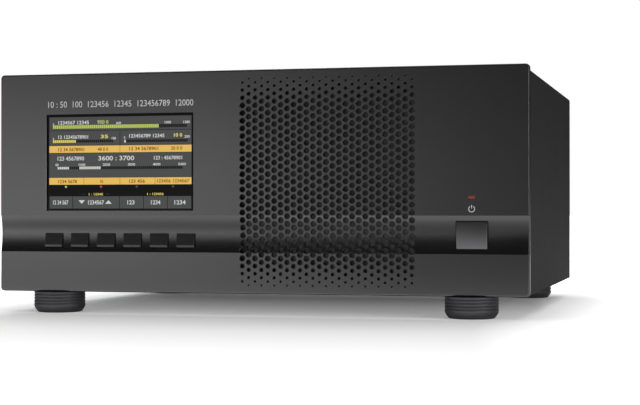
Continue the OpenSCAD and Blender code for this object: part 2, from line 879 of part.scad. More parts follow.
// Power-supply case with vent slots in its front and back.
module supply_case() {
    color([0.66, 0.67, 0.69])
    translate([supply_x, supply_y, z_tray])
    difference() {
        cube(supply);
        translate([supply_wall, supply_wall, supply_wall])
            cube(supply - 2 * [supply_wall, supply_wall, supply_wall]);
        for (x = slot_x)
            translate([x - supply_x, -cut, 14]) cube([slot_w, supply[1] + 2 * cut, slot_h]);
    }
}

// Board inside the supply: transformer, cooling bars and two rows of capacitors.
module supply_board() {
    edge = 6;
    translate([supply_x, supply_y, 0]) {
        color([0.15, 0.33, 0.16]) {
            block([edge, edge, z_supply_board - board_t],
                  [supply[0] - edge, supply[1] - edge, z_supply_board]);
            for (x = [2 * edge, supply[0] - 2 * edge], y = [2 * edge, supply[1] - 2 * edge])
                translate([x, y, z_tray + supply_wall]) cylinder(r = 3, h = supply_lift);
        }
        color([0.8, 0.7, 0.3]) translate([60, 80, z_supply_board]) cube([52, 46, 42]);
        color([0.15, 0.15, 0.17]) {
            for (k = [0 : 3]) translate([36 + k * 34, 32, z_supply_board]) cylinder(r = 14, h = 46);
            for (k = [0 : 4]) translate([34 + k * 26, 180, z_supply_board]) cylinder(r = 9, h = 36);
        }
        color([0.75, 0.76, 0.78])
            for (x = [16, 140]) translate([x, 64, z_supply_board]) cube([12, 94, 40]);
    }
}

// ------------------------------------------------------- shelf and boards

shelf_z = 78;
shelf_x = [-tray_half + sheet_t + 2, grille_x - duct_half - 1];
shelf_y = [y_inner_back + 8, y_rear_in - 40];

// Bridge over the power supply that carries the filter board.
module equipment_shelf() {
    color([0.66, 0.67, 0.69]) {
        block([shelf_x[0], shelf_y[0], shelf_z - sheet_t], [shelf_x[1], shelf_y[1], shelf_z]);
        for (x = [shelf_x[0], shelf_x[1] - sheet_t])
            block([x, shelf_y[0], z_tray], [x + sheet_t, shelf_y[1], shelf_z - sheet_t / 2]);
    }
}

board_lift = 6;
z_filter = shelf_z + board_lift + board_t;
filter_x = [shelf_x[0] + 18, shelf_x[1] - 20];
filter_y = [shelf_y[0] + 25, shelf_y[1] - 20];
filter_mid = (filter_x[0] + filter_x[1]) / 2;

// A board on four posts.
module board_on_posts(x, y, z) {
    block([x[0], y[0], z + board_lift], [x[1], y[1], z + board_lift + board_t]);
    for (px = [x[0] + board_lift, x[1] - board_lift], py = [y[0] + board_lift, y[1] - board_lift])
        translate([px, py, z]) cylinder(r = 3, h = board_lift + board_t / 2);
}

// Low-pass filter board.
module filter_board() {
    color([0.12, 0.38, 0.2]) board_on_posts(filter_x, filter_y, shelf_z);
}

coil_rows = 5;
coil_front = 36;
coil_back = 40.7;
coil_gap = 5.2;
coil_step = (filter_y[1] - filter_y[0] - coil_front - coil_back) / (coil_rows - 1);
coil_wire_r = 0.39 * (coil_step - coil_gap) / 2;
y_coils = filter_y[0] + coil_front;
coil_r = (coil_step - coil_gap) / 2 - coil_wire_r;

// Toroidal coils lying on the filter board in two rows.
module filter_coils() {
    color([0.75, 0.3, 0.12])
        for (k = [0 : coil_rows - 1], s = [-1, 1])
            translate([filter_mid + s * 24, y_coils + k * coil_step, z_filter + coil_wire_r])
                rotate_extrude() translate([coil_r, 0]) circle(r = coil_wire_r);
}

relay = [16, coil_step - 10, 12];

// Band relays outside the coils.
module filter_relays() {
    color([0.9, 0.9, 0.88])
        for (k = [0 : coil_rows - 1], s = [-1, 1])
            translate([filter_mid + s * 56, y_coils + k * coil_step, z_filter + relay[2] / 2])
                cube(relay, center = true);
}

control_x = [grille_x + duct_half + 8, grille_x + duct_half + 82];
control_y = [y_inner_back + 32, y_inner_back + 222];
z_control = z_tray + board_lift + board_t;
socket_h = 8;

// Control board on the tray, with its processor, memory and connectors.
module control_board() {
    mid = (control_x[0] + control_x[1]) / 2;
    color([0.1, 0.3, 0.45]) board_on_posts(control_x, control_y, z_tray);
    color([0.12, 0.12, 0.12])
        translate([0, 0, z_control]) {
            translate([mid, control_y[0] + 80, 0.8]) cube([20, 20, 1.6], center = true);
            translate([mid, control_y[0] + 120, 0.8]) cube([12, 12, 1.6], center = true);
            translate([mid, control_y[1] - 12, socket_h / 2]) cube([40, 8, socket_h], center = true);
            translate([ribbon_x, control_y[0] + 12, socket_h / 2])
                cube([ribbon_w + 6, 8, socket_h], center = true);
        }
}

// ----------------------------------------------------------------- wiring

y_ribbon = y_inner_back + nut_h + 1.5;
z_ribbon = fan_z + fan_size / 2 + ribbon_w + 2;
ribbon_x = control_x[0] + ribbon_w / 2 + 3;
cable_r = 2.5;
lead_r = 1.5;
y_landing = supply_y + supply[1] - 16;
y_cross = shelf_y[1] + 5;
z_loom = z_amplifier + 9;
y_lead = amplifier[1] / 2 - 9;
y_feed = amplifier[1] / 2 - 21;

// Coaxial leads: filter board to aerial socket, drive socket to amplifier
// board, and amplifier board to filter board.
module rf_cables() {
    left = grille_x - amplifier[0] / 2 + 8;
    land_x = filter_x[1] - 12;
    front = filter_y[0] + 8;
    color([0.85, 0.85, 0.82]) {
        wire([[output_x, y_rear_in - coax_tail, high_row_z], [output_x, filter_y[1] - 8, high_row_z],
              [output_x, filter_y[1] - 8, z_filter]], cable_r);
        wire([[input_x, y_rear_in - coax_tail, high_row_z], [input_x, y_cross + 5, high_row_z],
              [input_x, y_cross + 5, z_amplifier + 6], [left, y_cross + 5, z_amplifier + 6],
              [left, y_amplifier + y_lead, z_amplifier + 6], [left, y_amplifier + y_lead, z_amplifier]],
             lead_r);
        wire([[left, y_amplifier - y_lead, z_amplifier], [left, y_amplifier - y_lead, z_loom],
              [left, front, z_loom], [land_x, front, z_loom], [land_x, front, z_filter]], cable_r);
    }
}

// Power leads and the flat cable to the control board.
module wiring_loom() {
    // Mains: inlet, switch and both fuse holders to the supply's board.
    color([0.3, 0.25, 0.2]) {
        wire([[slot_x[2] + slot_w / 2, y_rear_in - inlet_l, low_row_z - 6],
              [slot_x[2] + slot_w / 2, y_landing, low_row_z - 6],
              [slot_x[2] + slot_w / 2, y_landing, z_supply_board]], lead_r);
        wire([[slot_x[4] + slot_w / 2, y_rear_in - switch_l, low_row_z - 4],
              [slot_x[4] + slot_w / 2, y_landing, low_row_z - 4],
              [slot_x[4] + slot_w / 2, y_landing, z_supply_board]], lead_r);
        for (k = [0, 1])
            wire([[slot_x[7 + 2 * k] + slot_w / 2, y_rear_in - fuse_l, low_row_z],
                  [slot_x[7 + 2 * k] + slot_w / 2, y_landing, low_row_z],
                  [slot_x[7 + 2 * k] + slot_w / 2, y_landing, z_supply_board]], lead_r);
    }
    // Direct current: supply board to amplifier board.
    color([0.6, 0.08, 0.06])
        for (k = [0, 1]) {
            x = slot_x[11 - k] + slot_w / 2;
            up = shelf_x[1] - 6 - 6 * k;
            land = grille_x - 37 - 8 * k;
            wire([[x, y_landing, z_supply_board], [x, y_landing, 30 + 6 * k], [x, y_cross, 30 + 6 * k],
                  [up, y_cross, 30 + 6 * k], [up, y_cross, z_loom + 6 * k],
                  [land, y_cross, z_loom + 6 * k], [land, y_amplifier + y_feed, z_loom + 6 * k],
                  [land, y_amplifier + y_feed, z_amplifier]], lead_r);
        }
    // Flat cable from the display's connector.
    color([0.6, 0.6, 0.62]) {
        far = y_ribbon + ribbon_t;
        low = z_control + 2;
        block([connector_x - ribbon_w / 2, y_ribbon, connector_z - 4],
              [connector_x + ribbon_w / 2, far, z_ribbon]);
        block([connector_x - ribbon_w / 2, y_ribbon, z_ribbon - ribbon_w],
              [ribbon_x + ribbon_w / 2, far, z_ribbon]);
        block([ribbon_x - ribbon_w / 2, y_ribbon, low], [ribbon_x + ribbon_w / 2, far, z_ribbon]);
        block([ribbon_x - ribbon_w / 2, y_ribbon, low],
              [ribbon_x + ribbon_w / 2, control_y[0] + 8, low + ribbon_t]);
    }
}

// ------------------------------------------------------------- rear panel

inlet_body = [33, 25];
inlet_cavity = [27, 19];
inlet_l = 22;
inlet_front = 3;
cavity_d = 17;
blade = [8, 2];
switch_body = [22, 29];
switch_l = 20;
fuse_r = 5.6;
fuse_l = 30;
fuse_front = 2.5;
earth_x = -22;
coax_hole_r = 6;
coax_tail = 8;
d_small = [19, 10.5];
d_large = [27, 10.5];
data_x = -160;
jack_x = [-112, -92];
jack_r = 4.2;

module rear_hole(x, z, size) {
    slab(y_rear_in - cut, y_rear + cut, x, z)
        square([size[0] + 2 * sheet_fit, size[1] + 2 * sheet_fit], center = true);
}

module rear_panel() {
    color([0.2, 0.2, 0.205])
    difference() {
        slab(y_rear_in, y_rear, 0, (tray_lift + z_plate_top) / 2)
            square([2 * tray_half, z_plate_top - tray_lift], center = true);
        pin_y(fan_r, y_rear_in - cut, y_rear + cut, grille_x, fan_z);
        fan_holes(y_rear_in - cut, y_rear + cut);
        rear_hole(inlet_x, low_row_z, inlet_body);
        rear_hole(switch_x, low_row_z, switch_body);
        rear_hole(data_x, high_row_z, d_small);
        rear_hole(data_x, mid_row_z, d_large);
        for (k = [0, 1])
            pin_y(fuse_r + bore_fit, y_rear_in - cut, y_rear + cut, fuse_x + k * fuse_pitch, low_row_z);
        pin_y(stud_r + bore_fit, y_rear_in - cut, y_rear + cut, earth_x, low_row_z);
        for (x = [output_x, input_x])
            pin_y(coax_hole_r + bore_fit, y_rear_in - cut, y_rear + cut, x, high_row_z);
        for (x = jack_x)
            pin_y(jack_r + bore_fit, y_rear_in - cut, y_rear + cut, x, mid_row_z);
        // Exhaust slots of the power supply.
        for (k = [0 : 7])
            slab(y_rear_in - cut, y_rear + cut, -190 + k * 7, 72) square([3, 18], center = true);
    }
}

contact_r = 2;
coax_screws = 18.1;
coax_relief = 1;
coax_neck = 0.7;

// Panel-mounting coaxial socket: square flange with four screws, threaded
// barrel, insulator and contact.
module coax_socket(x) {
    y_insulator = y_rear + 4;
    y_mouth = y_rear + 2 + coax_l;
    color([0.75, 0.75, 0.77])
    difference() {
        union() {
            slab(y_rear, y_rear + 2, x, high_row_z) round_rect(25.4, 25.4, 2);
            pin_y(coax_r, y_rear + 2 + coax_relief, y_mouth, x, high_row_z);
            pin_y(coax_r - coax_neck, y_rear + 1, y_rear + 4 + coax_relief, x, high_row_z);
            pin_y(coax_hole_r, y_rear_in - coax_tail + 2, y_rear + 1, x, high_row_z);
            for (sx = [-1, 1], sz = [-1, 1])
                pin_y(2.4, y_rear + 1, y_rear + 3.4, x + sx * coax_screws / 2,
                      high_row_z + sz * coax_screws / 2);
        }
        pin_y(coax_r - 1.7, y_insulator, y_mouth + cut, x, high_row_z);
        pin_y(4.4, y_rear_in - coax_tail, y_insulator + cut, x, high_row_z);
    }
    color([0.92, 0.9, 0.86])
    difference() {
        pin_y(4.4, y_rear_in - coax_tail, y_insulator, x, high_row_z);
        pin_y(contact_r, y_rear - 4, y_insulator + cut, x, high_row_z);
    }
    color([0.85, 0.7, 0.35])
    difference() {
        pin_y(contact_r + 0.7, y_insulator, y_mouth - 2, x, high_row_z);
        pin_y(contact_r, y_insulator - cut, y_mouth, x, high_row_z);
    }
}

washer_t = 1.6;
nut_gap = 0.4;
earth_nut_l = 8;
y_earth_nut = y_rear + washer_t + nut_gap;

// Earth stud through the rear panel, with its washer and the nut behind the panel.
module earth_stud() {
    color([0.8, 0.72, 0.45]) {
        pin_y(stud_r, y_rear_in - 8, y_rear + stud_l, earth_x, low_row_z);
        pin_y(stud_r + 4.5, y_rear, y_rear + washer_t, earth_x, low_row_z);
        pin_y(stud_r + 3, y_rear_in - 4, y_rear_in, earth_x, low_row_z, 6);
    }
}

// Knurled thumb nut of the earth terminal, bored as a running fit on the stud.
module earth_nut() {
    knurls = 16;
    color([0.82, 0.74, 0.46])
    difference() {
        union() {
            pin_y(stud_r + 5, y_earth_nut, y_earth_nut + 5, earth_x, low_row_z);
            pin_y(stud_r + 2.4, y_earth_nut + 4, y_earth_nut + earth_nut_l, earth_x, low_row_z);
        }
        pin_y(stud_r + bore_fit, y_earth_nut - cut, y_earth_nut + earth_nut_l + cut, earth_x, low_row_z);
        for (a = [0 : knurls - 1])
            translate([earth_x, 0, low_row_z]) rotate([0, a * 360 / knurls, 0])
                pin_y(0.9, y_earth_nut - cut, y_earth_nut + 5 + cut, stud_r + 5.3);
    }
}

// Snap-in mains inlet with three flat contacts.
module mains_inlet() {
    y_face = y_rear + inlet_front;
    color([0.08, 0.08, 0.085])
    difference() {
        union() {
            slab(y_rear, y_face, inlet_x, low_row_z) round_rect(52, 30, 4);
            slab(y_rear_in - inlet_l, y_rear + 1, inlet_x, low_row_z) square(inlet_body, center = true);
        }
        slab(y_face - cavity_d, y_face + cut, inlet_x, low_row_z)
            round_rect(inlet_cavity[0], inlet_cavity[1], 3);
    }
    color([0.8, 0.8, 0.78])
        for (p = [[-6.5, -2.5], [6.5, -2.5], [0, 2.5]])
            slab(y_face - cavity_d - 1, y_face - inlet_front, inlet_x + p[0], low_row_z + p[1])
                square(blade, center = true);
}

rocker = [18, 25];
rocker_tilt = 11;
y_rocker = y_rear - 6;
rocker_pin_r = 1.2;

// Rocker switch housing with its pivot holes.
module mains_switch() {
    color([0.07, 0.07, 0.075])
    difference() {
        union() {
            slab(y_rear, y_rear + 2, switch_x, low_row_z) round_rect(26, 33, 2);
            slab(y_rear_in - switch_l, y_rear + 1, switch_x, low_row_z) square(switch_body, center = true);
        }
        slab(y_rear_in - switch_l + 3, y_rear + 3, switch_x, low_row_z)
            square([rocker[0] + 2 * slide_fit, rocker[1] + 2 * slide_fit], center = true);
        translate([switch_x - switch_body[0] / 2 - cut, y_rocker, low_row_z]) rotate([0, 90, 0])
            cylinder(r = rocker_pin_r + bore_fit, h = switch_body[0] + 2 * cut);
    }
}

// The rocker turns on a cross pin; it lies with one end pressed in.
module mains_rocker() {
    color([0.06, 0.06, 0.06])
    translate([switch_x, y_rocker, low_row_z]) {
        rotate([-rocker_tilt, 0, 0])
        intersection() {
            translate([0, 2, 0]) cube([rocker[0], 16, rocker[1] - 3], center = true);
            rotate([0, 90, 0]) cylinder(r = rocker[1] / 2 - 0.6, h = rocker[0], center = true);
        }
        rotate([0, 90, 0]) cylinder(r = rocker_pin_r, h = rocker[0] + 3.4, center = true);
    }
}

fuse_cap_l = 9;
fuse_core_r = 4;
fuse_gap = 0.2;

// Two fuse holders, each with a bore for its cap's carrier.
module fuse_holders() {
    color([0.08, 0.08, 0.085])
        for (k = [0, 1])
            translate([fuse_x + k * fuse_pitch, 0, low_row_z])
                difference() {
                    union() {
                        pin_y(8.4, y_rear, y_rear + fuse_front);
                        pin_y(fuse_r, y_rear_in - fuse_l, y_rear + 1);
                    }
                    pin_y(fuse_core_r + bore_fit, y_rear_in - fuse_l + 4, y_rear + fuse_front + cut);
                }
}

// Fuse cap: a fluted, slotted head on a carrier that turns in the holder.
module fuse_cap(k) {
    y0 = y_rear + fuse_front + fuse_gap;
    flutes = 12;
    color([0.1, 0.1, 0.1])
    translate([fuse_x + k * fuse_pitch, 0, low_row_z])
    difference() {
        union() {
            pin_y(fuse_cap_r, y0, y0 + fuse_cap_l);
            pin_y(fuse_core_r, y_rear_in - fuse_l + 6, y0 + 1);
        }
        translate([0, y0 + fuse_cap_l, 0]) cube([1.4, 3, 2 * fuse_cap_r - 3], center = true);
        for (a = [0 : flutes - 1])
            rotate([0, a * 360 / flutes, 0])
                pin_y(0.8, y0 + 2, y0 + fuse_cap_l + cut, fuse_cap_r + 0.35);
    }
}

// D-shaped socket with its flange, shell, insert and two hexagonal screw posts.
module d_socket(x, z, size) {
    difference() {
        union() {
            slab(y_rear, y_rear + 1, x, z) round_rect(size[0] + 13, size[1] + 3, 1.5);
            slab(y_rear_in - 9, y_rear + 6, x, z) round_rect(size[0], size[1], 2.5);
        }
        slab(y_rear + 0.5, y_rear + 7, x, z) round_rect(size[0] - 1.2, size[1] - 1.2, 1.9);
    }
    slab(y_rear, y_rear + 5.2, x, z) round_rect(size[0] - 2.6, size[1] - 4, 1.5);
    for (s = [-1, 1])
        pin_y(2.6, y_rear + 0.5, y_rear + 6, x + s * (size[0] / 2 + 3.6), z, 6);
}

// Two D-shaped data sockets and two round key jacks.
module signal_sockets() {
    color([0.72, 0.72, 0.74]) {
        d_socket(data_x, high_row_z, d_small);
        d_socket(data_x, mid_row_z, d_large);
    }
    color([0.8, 0.72, 0.5])
        for (x = jack_x)
            difference() {
                union() {
                    pin_y(jack_r + 2, y_rear, y_rear + 1.5, x, mid_row_z);
                    pin_y(jack_r, y_rear_in - 8, y_rear + 9, x, mid_row_z);
                }
                pin_y(1.6, y_rear, y_rear + 10, x, mid_row_z);
            }
}

// ------------------------------------------------------------------ nodes

placed() {
front_panel();
front_key(0);  // key_1
front_key(1);  // key_2
front_key(2);  // key_3
front_key(3);  // key_4
front_key(4);  // key_5
front_key(5);  // key_6
power_button();
lamp_lens();
display_window();
display_module();
key_board();
power_board();
power_switch();
panel_posts();
filter_frame();
filter_mesh();
inner_front();
chassis_tray();
top_cover();
rear_panel();
side_rails();
cover_screws();
foot(-front_foot_x, front_foot_y);  // foot_front_left
foot(front_foot_x, front_foot_y);  // foot_front_right
foot(-rear_foot_x, rear_foot_y);  // foot_rear_left
foot(rear_foot_x, rear_foot_y);  // foot_rear_right
foot_screws();
fan_frame(y_inner_back);  // front_fan_frame
fan_rotor(y_inner_back);  // front_fan_rotor
fan_frame(y_rear_fan);  // rear_fan_frame
fan_rotor(y_rear_fan);  // rear_fan_rotor
fan_guard();
fan_screws();
heat_sink();
heat_spreader();
amplifier_board();
rf_transistors();
ferrite_transformers();
air_duct();
supply_case();
supply_board();
equipment_shelf();
filter_board();
filter_coils();
filter_relays();
control_board();
rf_cables();
wiring_loom();
coax_socket(output_x);  // aerial_socket
coax_socket(input_x);  // drive_socket
earth_stud();
earth_nut();
mains_inlet();
mains_switch();
mains_rocker();
fuse_holders();
fuse_cap(0);  // fuse_cap_1
fuse_cap(1);  // fuse_cap_2
signal_sockets();
}
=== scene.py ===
from functools import partial
from math import ceil, cos, pi, radians, sin, sqrt, tan

import bmesh
import bpy
from bpy.props import FloatProperty, FloatVectorProperty, IntProperty, PointerProperty
from bpy.types import NodeSocket, Operator, Panel, PropertyGroup
from mathutils import Matrix, Vector
from mathutils.geometry import delaunay_2d_cdt


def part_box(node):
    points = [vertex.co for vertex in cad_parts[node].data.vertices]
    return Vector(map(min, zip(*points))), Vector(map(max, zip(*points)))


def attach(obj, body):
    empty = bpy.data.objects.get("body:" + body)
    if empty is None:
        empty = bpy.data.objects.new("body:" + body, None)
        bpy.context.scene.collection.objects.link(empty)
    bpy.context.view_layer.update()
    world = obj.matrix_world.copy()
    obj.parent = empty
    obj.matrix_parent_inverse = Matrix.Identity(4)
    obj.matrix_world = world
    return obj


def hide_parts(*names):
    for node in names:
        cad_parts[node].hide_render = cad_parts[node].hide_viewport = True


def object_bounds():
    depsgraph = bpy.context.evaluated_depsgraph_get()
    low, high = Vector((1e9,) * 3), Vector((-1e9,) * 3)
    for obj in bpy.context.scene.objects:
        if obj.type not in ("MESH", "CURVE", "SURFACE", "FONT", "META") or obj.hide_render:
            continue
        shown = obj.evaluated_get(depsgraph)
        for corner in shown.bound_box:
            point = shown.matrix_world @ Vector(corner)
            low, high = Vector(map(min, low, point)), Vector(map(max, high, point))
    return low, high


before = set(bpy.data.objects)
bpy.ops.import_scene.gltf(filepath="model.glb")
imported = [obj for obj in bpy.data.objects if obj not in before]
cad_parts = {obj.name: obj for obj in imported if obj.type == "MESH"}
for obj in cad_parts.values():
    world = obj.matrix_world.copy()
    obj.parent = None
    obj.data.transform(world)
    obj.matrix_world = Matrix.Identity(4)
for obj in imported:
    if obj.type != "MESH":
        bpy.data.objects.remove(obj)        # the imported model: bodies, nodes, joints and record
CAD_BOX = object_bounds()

bl_info = {
    "name": "HF linear amplifier",
    "version": (1, 0, 0),
    "blender": (4, 5, 0),
    "location": "View3D > Sidebar > Amplifier",
    "description": "Dresses the amplifier: front panel, display, keys, case, feet and rear fittings",
    "category": "Object",
}

# ---- the two frames
# Pieces are drawn in millimetres from the front panel's lower edge, with y
# growing from the panel's face to the back, and are set into the packed
# model's frame, in metres, when they are finished.

PANEL_LOW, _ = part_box("front_panel")
TO_FRAME = Matrix.Translation((0, PANEL_LOW.y, PANEL_LOW.z)) @ Matrix.Scale(0.001, 4)
FROM_FRAME = TO_FRAME.inverted()


def node_box(node):
    """Lowest and highest corner of a CAD node, in millimetres."""
    low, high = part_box(node)
    return FROM_FRAME @ low, FROM_FRAME @ high


def node_place(node):
    """Lowest corner, highest corner and middle of a CAD node, in millimetres."""
    low, high = node_box(node)
    return low, high, (low + high) / 2


def node_middle(node):
    return node_place(node)[2]


class Millimetres:
    """Reads a group of sizes, kept in metres, as millimetres."""

    def __init__(self, sizes):
        self.sizes = sizes

    def __getattr__(self, name):
        return getattr(self.sizes, name) * 1000


def size(label, description, default):
    """A length, given in millimetres and kept in metres."""
    return FloatProperty(name=label, description=description, default=default / 1000,
                         min=0.0, precision=5, unit="LENGTH")


def number(label, description, default, unit="NONE", least=0.0):
    return FloatProperty(name=label, description=description, default=default, min=least, unit=unit)


def count(label, description, default):
    return IntProperty(name=label, description=description, default=default, min=1)


def colour(label, description, default):
    return FloatVectorProperty(name=label, description=description, default=default,
                               subtype="COLOR", size=3, min=0.0, max=1.0)


def share(label, description, default):
    return FloatProperty(name=label, description=description, default=default,
                         min=0.0, max=1.0, subtype="FACTOR")


# ---- settings


class PanelSizes(PropertyGroup):
    corner: size("Corner radius", "Radius of the panel's corners", 3)
    edge: size("Edge rounding", "Rounding of the panel's front edge", 1.2)
    chamfer: size("Chamfer", "Small chamfer round the openings", 0.25)
    groove_z: size("Groove height", "Middle of the hand groove over the lower edge", 45.9)
    groove_h: size("Groove width", "Height of the hand groove", 28.7)
    groove_d: size("Groove depth", "Depth of the hand groove", 2)
    window_lap: size("Window edge", "Edge of the window that lies behind the panel", 3.3)


class GrilleSizes(PropertyGroup):
    middle: size("Middle", "Middle of the perforations from the panel's middle", 56.8)
    pitch: size("Pitch", "Distance between neighbouring perforations", 5.88)
    hole: size("Hole", "Diameter of the full-size perforations", 4.5)
    smallest: size("Smallest hole", "Diameter of the smallest perforations", 1.3)
    fade: size("Fade", "Height over which the perforations shrink", 20.6)
    columns: count("Columns", "Number of perforation columns", 27)
    rows: count("Rows", "Perforations in each shorter column", 27)


class KeySizes(PropertyGroup):
    width: size("Width", "Width of a key's opening", 15)
    height: size("Height", "Height of a key's opening", 11)
    gap: size("Gap", "Clearance round a key", 0.3)
    proud: size("Proud", "How far a key's lower edge stands out", 0.9)
    slope: size("Slope", "How far a key's face leans back at its top", 2)
    bevel: size("Edge", "Rounding of a key's edges", 0.35)
    power_width: size("Button width", "Width of the power button's opening", 23.9)
    power_height: size("Button height", "Height of the power button's opening", 21.2)
    power_bulge: size("Button bulge", "Bulge of the power button's face", 1.3)


class DisplayLook(PropertyGroup):
    width: size("Width", "Width of the display opening", 122.5)
    height: size("Height", "Height of the display opening", 76.1)
    recess: size("Recess", "Depth of the window behind the panel's face", 1.5)
    cells: colour("Cells", "Glow of the grey cells", (0.068, 0.070, 0.069))
    amber: colour("Amber", "Glow of the amber bands", (0.80, 0.50, 0.11))
    bar: colour("Bar", "Glow of the lit bar segments", (0.50, 0.60, 0.14))
    reading: colour("Readings", "Glow of the numbers", (0.62, 0.63, 0.62))
    glow: number("Glow", "Strength of the display's light", 1.0)


class FootSizes(PropertyGroup):
    radius: size("Radius", "Largest radius of a foot", 20.25)
    taper: size("Taper", "How far a foot draws in at its lower end", 2.5)
    rib: size("Rib", "Depth of the grooves between the ribs", 0.55)
    ribs: count("Ribs", "Number of ribs round a foot", 4)
    sides: count("Sides", "Segments round a foot", 96)


class CaseSizes(PropertyGroup):
    bend: size("Bend", "Outer radius of the cover's bends", 2.2)
    sheet: size("Sheet", "Thickness of the cover", 1.5)
    hem: size("Hem", "Rounding of the cover's cut edges", 0.25)


class RearSizes(PropertyGroup):
    guard_wire: size("Guard wire", "Radius of the fan guard's wires", 1.1)
    blades: count("Blades", "Number of blades of each fan", 7)
    coax_radius: size("Socket thread", "Outer radius of the coaxial sockets' thread", 7.94)
    coax_pitch: size("Socket pitch", "Pitch of the coaxial sockets' thread", 1.058)
    coax_depth: size("Socket thread depth", "Depth of the coaxial sockets' thread", 0.55)
    stud_radius: size("Stud", "Radius of the earth stud", 3)
    stud_pitch: size("Stud pitch", "Pitch of the earth stud's thread", 1)


class FinishLook(PropertyGroup):
    panel: colour("Front panel", "Colour of the anodised front panel", (0.004, 0.004, 0.0041))
    cover: colour("Cover", "Colour of the powder-coated cover", (0.009, 0.009, 0.0092))
    keys: colour("Keys", "Colour of the keys", (0.012, 0.012, 0.0125))
    button: colour("Power button", "Colour of the power button", (0.070, 0.070, 0.072))
    rubber: colour("Feet", "Colour of the feet", (0.026, 0.026, 0.031))
    lamp: colour("Lamp", "Glow of the power lamp", (0.48, 0.087, 0.071))
    grain: share("Grain", "Strength of the fine surface grain", 0.5)
    dust: share("Dust", "Strength of the dust on upward faces", 0.15)


class StageLook(PropertyGroup):
    camera: FloatVectorProperty(name="Camera", description="Place of the camera", subtype="TRANSLATION",
                                unit="LENGTH", size=3, precision=5, default=(0.34237, -1.341245, 0.08002))
    lens: number("Lens", "Focal length in millimetres on a 36 mm wide sensor", 88.42, least=10)
    key_power: number("Key light", "Power of the soft light at the front left", 3.8, "POWER")
    top_power: number("Top light", "Power of the wide light above", 28, "POWER")
    side_power: number("Side light", "Power of the light at the right", 14, "POWER")
    rear_power: number("Rear light", "Power of the light behind", 30, "POWER")
    floor: colour("Floor", "Colour of the floor", (0.9, 0.9, 0.9))
    glow: number("Floor glow", "Light of the floor away from the object", 1.0)
    glow_side: number("Shadow at the sides", "Width of the shadow beside the object", 0.05, "LENGTH",
                      0.001)
    glow_close: number("Mirrored glow in front",
                       "Light that the panel mirrors from the floor just in front", 2.5)
    glow_left: number("Mirrored glow at the left",
                      "Light that the panel mirrors from the floor further to the left", 2.4)
    tent: number("Light tent", "Soft light from all round on dull surfaces", 0.40)
    ambient: number("Ambient", "Light from all round that shiny surfaces mirror", 0.03)


# ---- node writing

FLOAT, COLOR, VECTOR = "NodeSocketFloat", "NodeSocketColor", "NodeSocketVector"
GEOMETRY, OBJECT, MATERIAL, WHOLE = ("NodeSocketGeometry", "NodeSocketObject",
                                     "NodeSocketMaterial", "NodeSocketInt")


class Tree:
    """Writes a node tree as short calls; each call gives the new node's output."""

    def __init__(self, tree):
        self.tree = tree
        self.plus, self.minus, self.times, self.over = (
            partial(self.maths, kind) for kind in ("ADD", "SUBTRACT", "MULTIPLY", "DIVIDE"))

    def feed(self, socket, value):
        if isinstance(value, NodeSocket):
            self.tree.links.new(value, socket)
        elif value is not None:
            socket.default_value = value

    def node(self, kind, feeds=None, out=0, **settings):
        node = self.tree.nodes.new(kind)
        for key, value in settings.items():
            setattr(node, key, value)
        for key, value in (feeds or {}).items():
            self.feed(node.inputs[key], value)
        return node.outputs[out] if len(node.outputs) else node

    def add(self, kind, *rest, **settings):
        return self.node("ShaderNode" + kind, *rest, **settings)

    def geo(self, kind, *rest, **settings):
        return self.node("GeometryNode" + kind, *rest, **settings)

    def part(self, vector, axis):
        """One of a vector's three parts."""
        return self.add("SeparateXYZ", {0: vector}, out=axis)

    def maths(self, operation, a, b=None, c=None):
        return self.add("Math", {0: a, 1: b, 2: c}, operation=operation)

    def xyz(self, x, y, z):
        return self.add("CombineXYZ", {0: x, 1: y, 2: z})

    def blend(self, factor, a, b):
        """Colour a where the factor is 0, colour b where it is 1."""
        return self.add("Mix", {0: factor, 6: a, 7: b}, out=2, data_type="RGBA")

    def ramp(self, value, low, high, to_low=0.0, to_high=1.0):
        return self.add("MapRange", {0: value, 1: low, 2: high, 3: to_low, 4: to_high})


def start_group(name, kind, inputs, outputs):
    """A new node group with named sockets: its writer, its inputs and its results."""
    tree = bpy.data.node_groups.new(name, kind)
    for label, socket, default in inputs:
        item = tree.interface.new_socket(name=label, in_out="INPUT", socket_type=socket)
        if default is not None:
            item.default_value = default
    for label, socket in outputs:
        tree.interface.new_socket(name=label, in_out="OUTPUT", socket_type=socket)
    given = tree.nodes.new("NodeGroupInput")
    result = tree.nodes.new("NodeGroupOutput")
    return Tree(tree), given.outputs, result.inputs


def start_shape(name, inputs):
    """A Geometry Nodes tree: its writer, its inputs, and a call that sets the finish and ends it."""
    t, given, result = start_group(name, "GeometryNodeTree", [*inputs, ("Material", MATERIAL, None)],
                                   [("Mesh", GEOMETRY)])

    def end(geometry):
        t.feed(result["Mesh"], t.geo("SetMaterial", {"Geometry": geometry,
                                                     "Material": given["Material"]}))
        return t.tree

    return t, given, end


def grow(tree, values, seed=None):
    """Runs a Geometry Nodes tree once and gives its result as a plain mesh."""
    holder = bpy.data.objects.new("holder", seed or bpy.data.meshes.new("seed"))
    bpy.context.scene.collection.objects.link(holder)
    modifier = holder.modifiers.new("Nodes", "NODES")
    modifier.node_group = tree
    for item in tree.interface.items_tree:
        if item.in_out == "INPUT" and item.name in values:
            modifier[item.identifier] = values[item.name]
    bpy.context.view_layer.update()
    evaluated = holder.evaluated_get(bpy.context.evaluated_depsgraph_get())
    mesh = bpy.data.meshes.new_from_object(evaluated)
    bpy.data.objects.remove(holder)
    return mesh


# ---- materials


